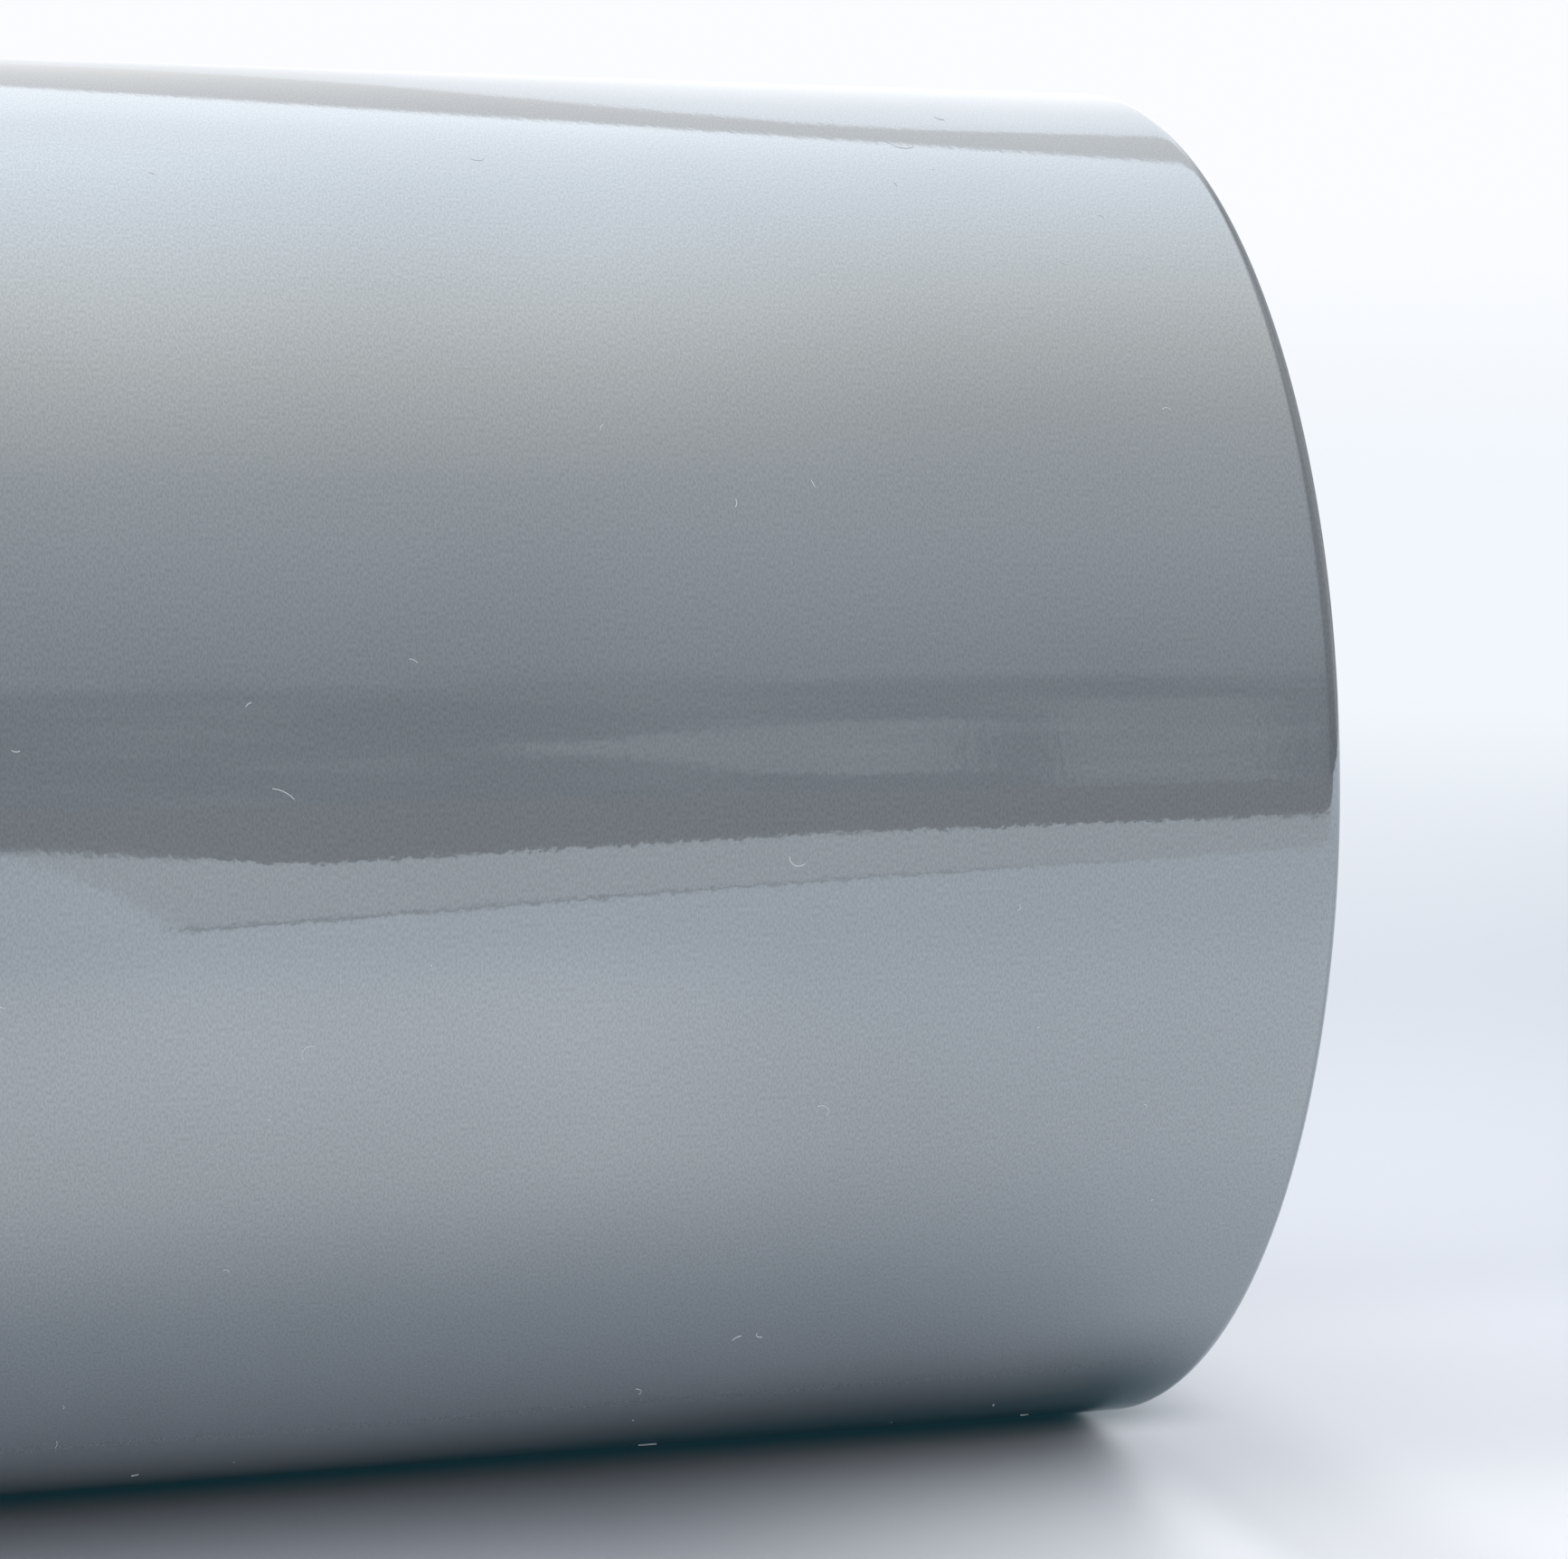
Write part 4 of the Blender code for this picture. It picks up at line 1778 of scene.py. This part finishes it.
@dataclass(frozen=True)
class RoomLight:
    """The light: a dark front of the room, a bright ceiling with one gap in it, and a bright back.

    Mirrored rays see this, matt faces get an even light, and the camera sees a pale backdrop. A Fade
    runs along the roll, with the X part of the direction, or up, with the height angle in degrees from
    the front over the top to the back.

    Attributes:
        strength: Strength of a sky value of 1.
        fill: Strength of the even light that matt faces get.
        tint: Colour of the light.
        warm_tint: What one unit of warmth adds to the tint.
        sky: Height angles, each with the brightness of the light there and how warm it is.
        lowered: How far the bright part of the sky is lowered, along the roll, in degrees.
        lowered_part: Share of that, up.
        gap_low: Slope and height of the gap's lower edge, along the roll.
        gap_high: Height of its upper edge, along the roll.
        gap_blur: Half the softness of its edges, in degrees.
        gap_value: Brightness of the gap.
        gap_gain: Share of the brightness along the roll that the gap takes instead.
        gap_colour: Colour of the gap.
        past_gap: Share of the sky's brightness that is left past the gap, along the roll.
        dimming: Brightness along the roll.
        left_end: Where the left-hand end counts, along the roll.
        left_change: What the left-hand end's brightness gains, up.
        right_fall: Brightness along the roll, past its right-hand end.
        backdrop: Colour of the background at the horizon.
        backdrop_top: Colour of the background above.
        horizon: Where the background goes from the one to the other, by the Z part of the direction.
    """

    strength: float = 3.0
    fill: float = 1.08
    tint: Colour = (0.97, 0.99, 1.02)
    warm_tint: Colour = (0.05, 0.01, -0.07)
    sky: tuple[tuple[float, float, float], ...] = (
        (-30, 0.20, -0.6), (0, 0.20, -0.6), (12, 0.21, -0.6), (16.3, 0.225, -0.6), (17.1, 0.305, -0.4),
        (21, 0.375, -0.2), (39, 0.55, 0.0), (48, 0.63, 0.4), (58, 0.82, 1.2), (68, 1.05, 1.4),
        (80, 1.35, 1.2), (91, 1.6, 0.5), (110, 1.9, 0.0), (120, 2.05, 0.0), (132, 2.2, 0.0),
        (150, 2.0, 0.0), (170, 1.7, 0.0), (200, 1.4, 0.0),
    )
    lowered: Fade = (0.20, 0.36, 0.0, 7.0)
    lowered_part: Fade = (44.0, 64.0)
    gap_low: Pair = (-59.0, 145.6)
    gap_high: Fade = (0.05, 0.32, 160.0, 134.3)
    gap_blur: float = 1.0
    gap_value: float = 1.10
    gap_gain: float = 1.06
    gap_colour: Colour = (1.0, 0.985, 0.97)
    past_gap: Fade = (0.10, 0.30, 0.70, 0.77)
    dimming: Fade = (0.20, 0.40, 1.0, 0.965)
    left_end: Fade = (0.20, 0.06)
    left_change: Fade = (128.0, 112.0, -0.06, 0.06)
    right_fall: Fade = (0.43, 0.62, 1.0, 0.27)
    backdrop: Colour = (0.885, 0.930, 0.983)
    backdrop_top: Colour = (0.965, 0.975, 1.0)
    horizon: Fade = (0.0, 0.08)

    def tinted(self, value: float, warmth: float) -> Colour:
        """A colour of this brightness, tinted like the light and warmed towards yellow."""
        return tuple(value * (part + warmth * warm) for part, warm in zip(self.tint, self.warm_tint))

    def sky_colour(self, canvas: Canvas, x: Feed, angle: Feed) -> Socket:
        """The sky's colour.

        Args:
            canvas: The canvas of the light.
            x: Part of the direction along the roll.
            angle: Height angle of the direction, in degrees.

        Returns:
            The colour, as a share of the light's strength.
        """
        first, last = self.sky[0][0], self.sky[-1][0]
        shift = canvas.product(canvas.smooth(x, *self.lowered), canvas.smooth(angle, *self.lowered_part))
        above_first = canvas.minus(canvas.minus(angle, shift), first)
        stops = [
            ((height - first) / (last - first), self.tinted(value / self.strength, warmth))
            for height, value, warmth in self.sky
        ]
        return canvas.ramp(canvas.math("DIVIDE", above_first, last - first), stops)

    def hang(self) -> None:
        """Lights the scene's world."""
        world = bpy.data.worlds.new("studio_light")
        world.use_nodes = True
        bpy.context.scene.world = world
        canvas = Canvas(world.node_tree)
        background = world.node_tree.nodes["Background"]
        direction = canvas.add("ShaderNodeTexCoord").outputs["Generated"]
        x, y, z = canvas.split(direction)
        angle = canvas.math("DEGREES", canvas.math("ARCTAN2", z, canvas.product(y, -1.0)))
        over_low = canvas.minus(angle, canvas.math("MULTIPLY_ADD", x, *self.gap_low))
        over_high = canvas.minus(angle, canvas.smooth(x, *self.gap_high))
        under_high = canvas.smooth(over_high, self.gap_blur, -self.gap_blur)
        gap = canvas.product(canvas.smooth(over_low, -self.gap_blur, self.gap_blur), under_high)
        gap_tone = tuple(self.gap_value / self.strength * part for part in self.gap_colour)
        pale = canvas.math("MAXIMUM", gap, DarkFront().shapes(canvas, x, angle))
        lit = canvas.mix(pale, self.sky_colour(canvas, x, angle), gap_tone)
        beyond_gap = canvas.blend(under_high, canvas.smooth(x, *self.past_gap), 1.0)
        left = canvas.product(canvas.smooth(x, *self.left_end), canvas.smooth(angle, *self.left_change))
        along = canvas.plus(canvas.smooth(x, *self.dimming), left)
        shade = canvas.product(beyond_gap, canvas.blend(gap, along, self.gap_gain))
        shade = canvas.product(shade, canvas.smooth(x, *self.right_fall), self.strength)
        seen = canvas.mix(canvas.smooth(z, *self.horizon), self.backdrop, self.backdrop_top)
        rays = canvas.add("ShaderNodeLightPath").outputs
        soft = canvas.mix(rays["Is Diffuse Ray"], lit, self.tint)
        strength = canvas.blend(rays["Is Diffuse Ray"], shade, self.fill)
        canvas.feed(background.inputs["Color"], canvas.mix(rays["Is Camera Ray"], soft, seen))
        canvas.feed(background.inputs["Strength"], canvas.blend(rays["Is Camera Ray"], strength, 1.0))


@dataclass(frozen=True)
class DarkFront:
    """Faint pale shapes in the dark front of the room: a wedge, a patch beside it, and unevenness.

    Heights are in degrees. Fades run along or up, as in RoomLight.

    Attributes:
        opening: Half the height of the wedge, along.
        lean: Its slope and height.
        wobble: How far its middle line wanders.
        wobble_scale: How often it does, along and up.
        wedge_blur: Softness of its edges.
        wedge_start: Where it starts, along.
        wedge_end: Where it ends.
        wedge_share: Its share of the gap's tone.
        patch_start: Where the patch starts, along.
        patch_end: Where it ends.
        patch_foot: Its lower edge, up.
        patch_top: Its upper edge, up.
        patch_share: Its share of the gap's tone.
        uneven_scale: Cells of the unevenness, along and up.
        uneven: How strong it is, by the value of its noise.
        uneven_top: Where it ends, up.
    """

    opening: Fade = (0.185, 0.30, 0.4, 4.2)
    lean: Pair = (-8.0, 7.2)
    wobble: float = 3.0
    wobble_scale: Pair = (40.0, 0.9)
    wedge_blur: float = 0.5
    wedge_start: Fade = (0.18, 0.2)
    wedge_end: Fade = (0.310, 0.342, 1.0, 0.0)
    wedge_share: float = 0.17
    patch_start: Fade = (0.338, 0.356)
    patch_end: Fade = (0.418, 0.396)
    patch_foot: Fade = (-1.5, -0.5)
    patch_top: Fade = (14.0, 12.5)
    patch_share: float = 0.13
    uneven_scale: Pair = (14.0, 0.3)
    uneven: Fade = (0.48, 0.62, 0.0, 0.06)
    uneven_top: Fade = (26.0, 16.0)

    def wedge(self, canvas: Canvas, x: Feed, angle: Feed) -> Socket:
        """The mask of the wedge, with the same arguments as shapes()."""
        stretch, scale = self.wobble_scale
        sink, height = self.lean
        place = canvas.join(canvas.product(x, stretch), angle, 0.0)
        middle = canvas.math("MULTIPLY_ADD", canvas.noise(place, scale, 2.0), self.wobble, height)
        middle = canvas.math("MULTIPLY_ADD", x, sink, middle)
        off_middle = canvas.math("ABSOLUTE", canvas.minus(angle, middle))
        past_edge = canvas.minus(off_middle, canvas.smooth(x, *self.opening))
        return canvas.product(
            canvas.smooth(past_edge, self.wedge_blur, -self.wedge_blur),
            canvas.smooth(x, *self.wedge_end),
            canvas.smooth(x, *self.wedge_start),
        )

    def shapes(self, canvas: Canvas, x: Feed, angle: Feed) -> Socket:
        """All the shapes.

        Args:
            canvas: The canvas of the light.
            x: Part of the direction along the roll.
            angle: Height angle of the direction, in degrees.

        Returns:
            How much of the gap's tone shows there.
        """
        patch = canvas.product(
            canvas.smooth(x, *self.patch_start),
            canvas.smooth(x, *self.patch_end),
            canvas.smooth(angle, *self.patch_foot),
            canvas.smooth(angle, *self.patch_top),
        )
        stretch_x, stretch_up = self.uneven_scale
        place = canvas.vector("MULTIPLY", canvas.join(x, angle, 0.0), (stretch_x, stretch_up, 1.0))
        uneven = canvas.smooth(canvas.noise(place, 1.0, 4.0), *self.uneven)
        uneven = canvas.product(uneven, canvas.smooth(angle, *self.uneven_top))
        wedge = canvas.product(self.wedge(canvas, x, angle), self.wedge_share)
        patch = canvas.product(patch, self.patch_share)
        return canvas.plus(canvas.math("MAXIMUM", wedge, patch), uneven)


@dataclass(frozen=True)
class MirroredFloor:
    """What mirrored rays see past the slanted edge of the white floor: a pale strip, then darkness.

    Attributes:
        slant: How fast the edge comes forward along the roll.
        edge: The edge, by its distance.
        rim: The strip's inner line, by the same distance.
        rim_end: Where that line fades out, along X.
        bends: X of the two places where the strip's outer side bends.
        slopes: Slope of that side before the first bend, between the two, and after them.
        reach: How far forward the strip's outer side lies at the first bend.
        blur: Half the softness of that side.
        corner: The strip's left-hand corner, along X and along Y.
        card_tone: Brightness of the strip.
        rim_tone: Brightness of its inner line.
        dark_tone: Brightness past the strip.
    """

    slant: float = 0.635
    edge: Fade = (0.0180, 0.0165)
    rim: Fade = (0.0115, 0.0135)
    rim_end: Fade = (0.42, 0.34)
    bends: Pair = (0.307, 0.405)
    slopes: tuple[float, float, float] = (5.1, 1.0, 0.4)
    reach: float = 0.306
    blur: float = 0.002
    corner: tuple[Fade, Fade] = ((0.2775, 0.2755), (-0.43, -0.41))
    card_tone: Colour = (0.74, 0.75, 0.76)
    rim_tone: Colour = (0.42, 0.43, 0.45)
    dark_tone: Colour = (0.21, 0.21, 0.21)

    def build(self, canvas: Canvas, x: Feed, y: Feed) -> tuple[Socket, Socket]:
        """Builds it.

        Args:
            canvas: The canvas of the floor.
            x: Place along the roll.
            y: Place across it.

        Returns:
            The tone past the edge, and the mask of what lies past it.
        """
        distance = canvas.math("MULTIPLY_ADD", x, self.slant, y)
        first, second = self.bends
        before, between, after = self.slopes
        left = canvas.math("MAXIMUM", canvas.minus(first, x), 0.0)
        past_first = canvas.math("MAXIMUM", canvas.minus(x, first), 0.0)
        middle = canvas.product(canvas.math("MINIMUM", past_first, second - first), between)
        right = canvas.math("MAXIMUM", canvas.minus(x, second), 0.0)
        reach = canvas.math("MULTIPLY_ADD", right, after, canvas.plus(middle, self.reach))
        reach = canvas.math("MULTIPLY_ADD", left, before, reach)
        past_strip = canvas.smooth(canvas.plus(y, reach), self.blur, -self.blur)
        rim = canvas.product(canvas.smooth(distance, *self.rim), canvas.smooth(x, *self.rim_end))
        tone = canvas.mix(past_strip, canvas.mix(rim, self.card_tone, self.rim_tone), self.dark_tone)
        corner_x, corner_y = self.corner
        corner = canvas.product(canvas.smooth(x, *corner_x), canvas.smooth(y, *corner_y))
        past_edge = canvas.minus(canvas.smooth(distance, *self.edge), corner, clamp=True)
        return tone, past_edge


@dataclass(frozen=True)
class StudioFloor:
    """The pale floor, which melts into the background further out. Its colour and its emission hold painted
    light and shade: darker behind the roll, palest in front, a painted contact shadow, and glows.

    Each Fade runs along X, along Y, or with the distance that its line names.

    Attributes:
        light: The light it lies in.
        half_length: Half the length of the roll.
        radius: Radius of the floor.
        sink: How far it lies under the roll.
        tone: Colour of the floor behind the roll, darker as painted shade.
        near: Colour of the floor close behind it, lighter as painted light, and where that begins, along Y.
        front: Colour of the floor in front of it, palest as painted light, and where that begins, along Y.
        spread: How far past the roll's ends the edge of the front's painted light starts to widen, and how
            fast.
        contact: Colour of the painted contact shadow, a near-black band on the floor beside the line of
            contact.
        contact_glow: Colour and strength of the faint painted glow, an emission, in that painted shadow.
        contact_shadow_seen: The painted contact shadow, by the distance from the line of contact, as the
            camera sees it.
        contact_shadow_mirrored: The painted contact shadow as the roll mirrors it.
        widened: What widens the mirrored painted shadow near the right-hand end, along X.
        narrowed: What narrows it further left, along X.
        contact_shadow_end: Where the painted shadow ends, by the distance past the roll's ends.
        glow: Strength of the light that the open floor in front adds to what the roll mirrors.
        glow_tint: Colour of that light.
        glow_start: Where it begins, along Y.
        glow_end: Where it ends, along Y.
        glow_along: Its share along X.
        lift_start: Where the floor in front glows lighter for the camera as painted light, along Y.
        lift_along: By how much, along X.
        lift_end: Where that ends, along X.
        beside: How much the floor past the right-hand end glows lighter for the camera as painted light,
            along X.
        beside_back: Where that ends behind, along Y.
        beside_end: Where it ends, along X.
        lift_close: How far in front both reach, along Y.
        melt: Where the floor melts into the background, by the distance from the middle.
        grain: Height of the floor's grain.
        grain_scale: Cells of the grain per metre.
    """

    light: RoomLight
    half_length: float
    radius: float = 6.0
    sink: float = 0.1 * MM
    tone: Colour = (0.53, 0.56, 0.62)
    near: tuple[Colour, Fade] = ((0.68, 0.71, 0.775), (0.20, 0.02))
    front: tuple[Colour, Fade] = ((0.87, 0.89, 0.92), (-0.015, -0.042))
    spread: Pair = (0.03, 14.0)
    contact: Colour = (0.008, 0.055, 0.075)
    contact_glow: tuple[Colour, float] = ((0.12, 0.60, 0.78), 0.030)
    contact_shadow_seen: Fade = (0.0125, 0.0060)
    contact_shadow_mirrored: Fade = (0.027, 0.013)
    widened: Fade = (0.318, 0.330, 0.0, -0.003)
    narrowed: Fade = (0.315, 0.27, 0.0, 0.006)
    contact_shadow_end: Fade = (0.010, -0.002)
    glow: float = 0.32
    glow_tint: Colour = (0.97, 0.85, 0.72)
    glow_start: Fade = (-0.034, -0.058)
    glow_end: Fade = (-0.15, -0.075, 0.15, 1.0)
    glow_along: Fade = (0.295, 0.325, 1.0, 0.45)
    lift_start: Fade = (-0.006, -0.032)
    lift_along: Fade = (0.290, 0.322, 0.0, 0.15)
    lift_end: Fade = (0.3315, 0.3255)
    beside: Fade = (0.3355, 0.3465, 0.0, 0.09)
    beside_back: Fade = (0.03, 0.005)
    beside_end: Fade = (0.48, 0.37)
    lift_close: Fade = (-0.16, -0.05)
    melt: Fade = (0.36, 1.05)
    grain: float = 0.004 * MM
    grain_scale: float = 900.0

    def gap(self, canvas: Canvas, x: Feed, y: Feed, seen: Feed) -> Socket:
        """The painted contact shadow: a narrow dark band beside the line of contact.

        Args:
            canvas: The canvas of the floor.
            x: Place along the roll.
            y: Place across it.
            seen: 1 for rays from the camera.

        Returns:
            Its mask.
        """
        off_line = canvas.math("ABSOLUTE", y)
        change = canvas.plus(canvas.smooth(x, *self.widened), canvas.smooth(x, *self.narrowed))
        mirrored = canvas.smooth(canvas.plus(off_line, change), *self.contact_shadow_mirrored)
        mask = canvas.blend(seen, mirrored, canvas.smooth(off_line, *self.contact_shadow_seen))
        return canvas.product(mask, canvas.smooth(self.past_end(canvas, x), *self.contact_shadow_end))

    def past_end(self, canvas: Canvas, x: Feed) -> Socket:
        """How far past the roll's ends this X is."""
        return canvas.minus(canvas.math("ABSOLUTE", x), self.half_length)

    def colour(self, canvas: Canvas, x: Feed, y: Feed) -> Socket:
        """The floor's colour away from the painted contact shadow: painted shade behind the roll, painted
        light close behind it and in front.

        Args:
            canvas: The canvas of the floor.
            x: Place along the roll.
            y: Place across it.

        Returns:
            The colour.
        """
        near, near_from = self.near
        front, front_from = self.front
        spread_from, spread = self.spread
        # Painted light and shade: the floor's colour is darker behind the roll and palest in front, where the
        # light falls.
        behind = canvas.mix(canvas.smooth(y, *near_from), self.tone, near)
        away = canvas.math("MAXIMUM", canvas.minus(self.past_end(canvas, x), spread_from), 0.0)
        narrow = canvas.math("DIVIDE", y, canvas.math("MULTIPLY_ADD", away, spread, 1.0))
        return canvas.mix(canvas.smooth(narrow, *front_from), behind, front)

    def own_light(
        self, canvas: Canvas, x: Feed, y: Feed, under: Feed, rays: Mapping[str, Socket]
    ) -> tuple[Socket, Socket]:
        """The painted light that the floor gives off as emission, though it is no lamp.

        Args:
            canvas: The canvas of the floor.
            x: Place along the roll.
            y: Place across it.
            under: Mask of the painted contact shadow.
            rays: Outputs of the Light Path node.

        Returns:
            Its colour and strength.
        """
        # Painted light: a warm glow from the floor in front, seen only in what the roll mirrors.
        glow = canvas.product(
            canvas.smooth(y, *self.glow_start),
            canvas.smooth(y, *self.glow_end),
            canvas.smooth(x, *self.glow_along),
            rays["Is Glossy Ray"],
            self.glow,
        )
        # Painted light: the floor in front and past the right-hand end glows lighter for the camera.
        before = canvas.product(
            canvas.smooth(y, *self.lift_start),
            canvas.smooth(x, *self.lift_along),
            canvas.smooth(x, *self.lift_end),
        )
        beside = canvas.product(
            canvas.smooth(x, *self.beside),
            canvas.smooth(y, *self.beside_back),
            canvas.smooth(x, *self.beside_end),
        )
        close = canvas.smooth(y, *self.lift_close)
        lift = canvas.product(canvas.plus(before, beside), rays["Is Camera Ray"], close)
        tint = canvas.mix(rays["Is Camera Ray"], self.glow_tint, self.light.tint)
        # Painted light: a faint teal glow in the painted contact shadow.
        shadow_glow_tint, shadow_glow_strength = self.contact_glow
        glow = canvas.math("MULTIPLY_ADD", under, shadow_glow_strength, glow)
        return canvas.mix(under, tint, shadow_glow_tint), canvas.plus(glow, lift)

    def lay(self) -> Piece:
        """Lays the floor.

        Returns:
            The floor.
        """
        shape = bmesh.new()
        bmesh.ops.create_circle(shape, cap_ends=True, segments=96, radius=self.radius)
        bmesh.ops.translate(shape, verts=shape.verts[:], vec=(0, 0, -self.sink))
        material, canvas, shader = principled("studio_floor", IOR=1.33, Roughness=0.38)
        rays = canvas.add("ShaderNodeLightPath").outputs
        x, y, _ = canvas.split(canvas.place())
        # Painted shadow: the floor's base colour goes near-black in a band beside the line of contact, wider
        # in what the roll mirrors.
        under = self.gap(canvas, x, y, rays["Is Camera Ray"])
        canvas.feed(shader["Base Color"], canvas.mix(under, self.colour(canvas, x, y), self.contact))
        canvas.feed(shader["Normal"], canvas.bump(canvas.noise(canvas.place(), self.grain_scale), self.grain))
        own_colour, own_strength = self.own_light(canvas, x, y, under, rays)
        canvas.feed(shader["Emission Color"], own_colour)
        canvas.feed(shader["Emission Strength"], own_strength)
        squares = canvas.math("MULTIPLY_ADD", x, x, canvas.product(y, y))
        melted = canvas.smooth(canvas.math("SQRT", squares), *self.melt)
        tone, past_edge = MirroredFloor().build(canvas, x, y)
        mirrored = canvas.product(past_edge, rays["Is Glossy Ray"])
        far = canvas.node("ShaderNodeEmission", {"Color": self.light.backdrop}).outputs[0]
        dark = canvas.node("ShaderNodeEmission", {"Color": tone}).outputs[0]
        own = material.node_tree.nodes["Principled BSDF"].outputs[0]
        seen = canvas.node("ShaderNodeMixShader", {0: melted, 1: own, 2: far}).outputs[0]
        mixed = canvas.node("ShaderNodeMixShader", {0: mirrored, 1: seen, 2: dark}).outputs[0]
        canvas.feed(material.node_tree.nodes["Material Output"].inputs["Surface"], mixed)
        floor = finish_piece("studio_floor", shape, [material])
        return floor


@dataclass
class Studio:
    """A pale floor, soft light all round, and the camera.

    Attributes:
        roll: The frame that it stands round.
        lens: Focal length of the camera, in millimetres.
        sensor: Width of its sensor, in millimetres.
        clip_start: Distance at which the camera starts to see.
        camera_place: Where the camera stands, in roll radii from the axis at the right-hand end.
        camera_tilt: Turn of the camera about X and Z, in degrees.
        light: The light.
    """

    roll: RollFrame
    lens: float = 79.9
    sensor: float = 36.0
    clip_start: float = 0.01
    camera_place: tuple[float, float, float] = (-1.8976, -5.038, 1.41)
    camera_tilt: Pair = (85.2, -15.95)
    light: RoomLight = RoomLight()

    def set_camera(self) -> Piece:
        """Sets up the camera.

        Returns:
            The camera.
        """
        data = bpy.data.cameras.new("camera")
        data.lens = self.lens
        data.sensor_width = self.sensor
        data.clip_start = self.clip_start
        camera = bpy.data.objects.new("camera", data)
        camera.location = Vector(self.camera_place) * self.roll.axis + Vector((self.roll.half_length, 0, 0))
        camera.rotation_euler = (radians(self.camera_tilt[0]), 0, radians(self.camera_tilt[1]))
        bpy.context.scene.collection.objects.link(camera)
        bpy.context.scene.camera = camera
        return camera

    def build(self) -> None:
        """Builds the studio."""
        bpy.context.scene.view_settings.view_transform = "Standard"
        self.light.hang()
        StudioFloor(self.light, self.roll.half_length).lay()
        self.set_camera()


def main() -> None:
    """Builds the roll, from its core outwards, and the studio round it."""
    logging.basicConfig(level=logging.INFO, format="%(name)s: %(message)s")
    roll = RollFrame.read()
    winding = Winding(roll)
    effects = Effects()
    core = Core(roll)
    materials = Materials.mix(effects, winding, core.ply)
    core.build(materials)
    Windings(winding).build(materials)
    sheet = Sheet(winding)
    sheet.build_turn(materials)
    sheet.build_free_end(materials)
    TapeTabs(winding, sheet).build(materials)
    SizeLabel(winding).build(effects)
    for side in Side:
        EndPlug(roll, side).build(materials)
    SurfaceLint(winding).build(materials)
    Studio(roll).build()


if __name__ == "__main__":
    main()
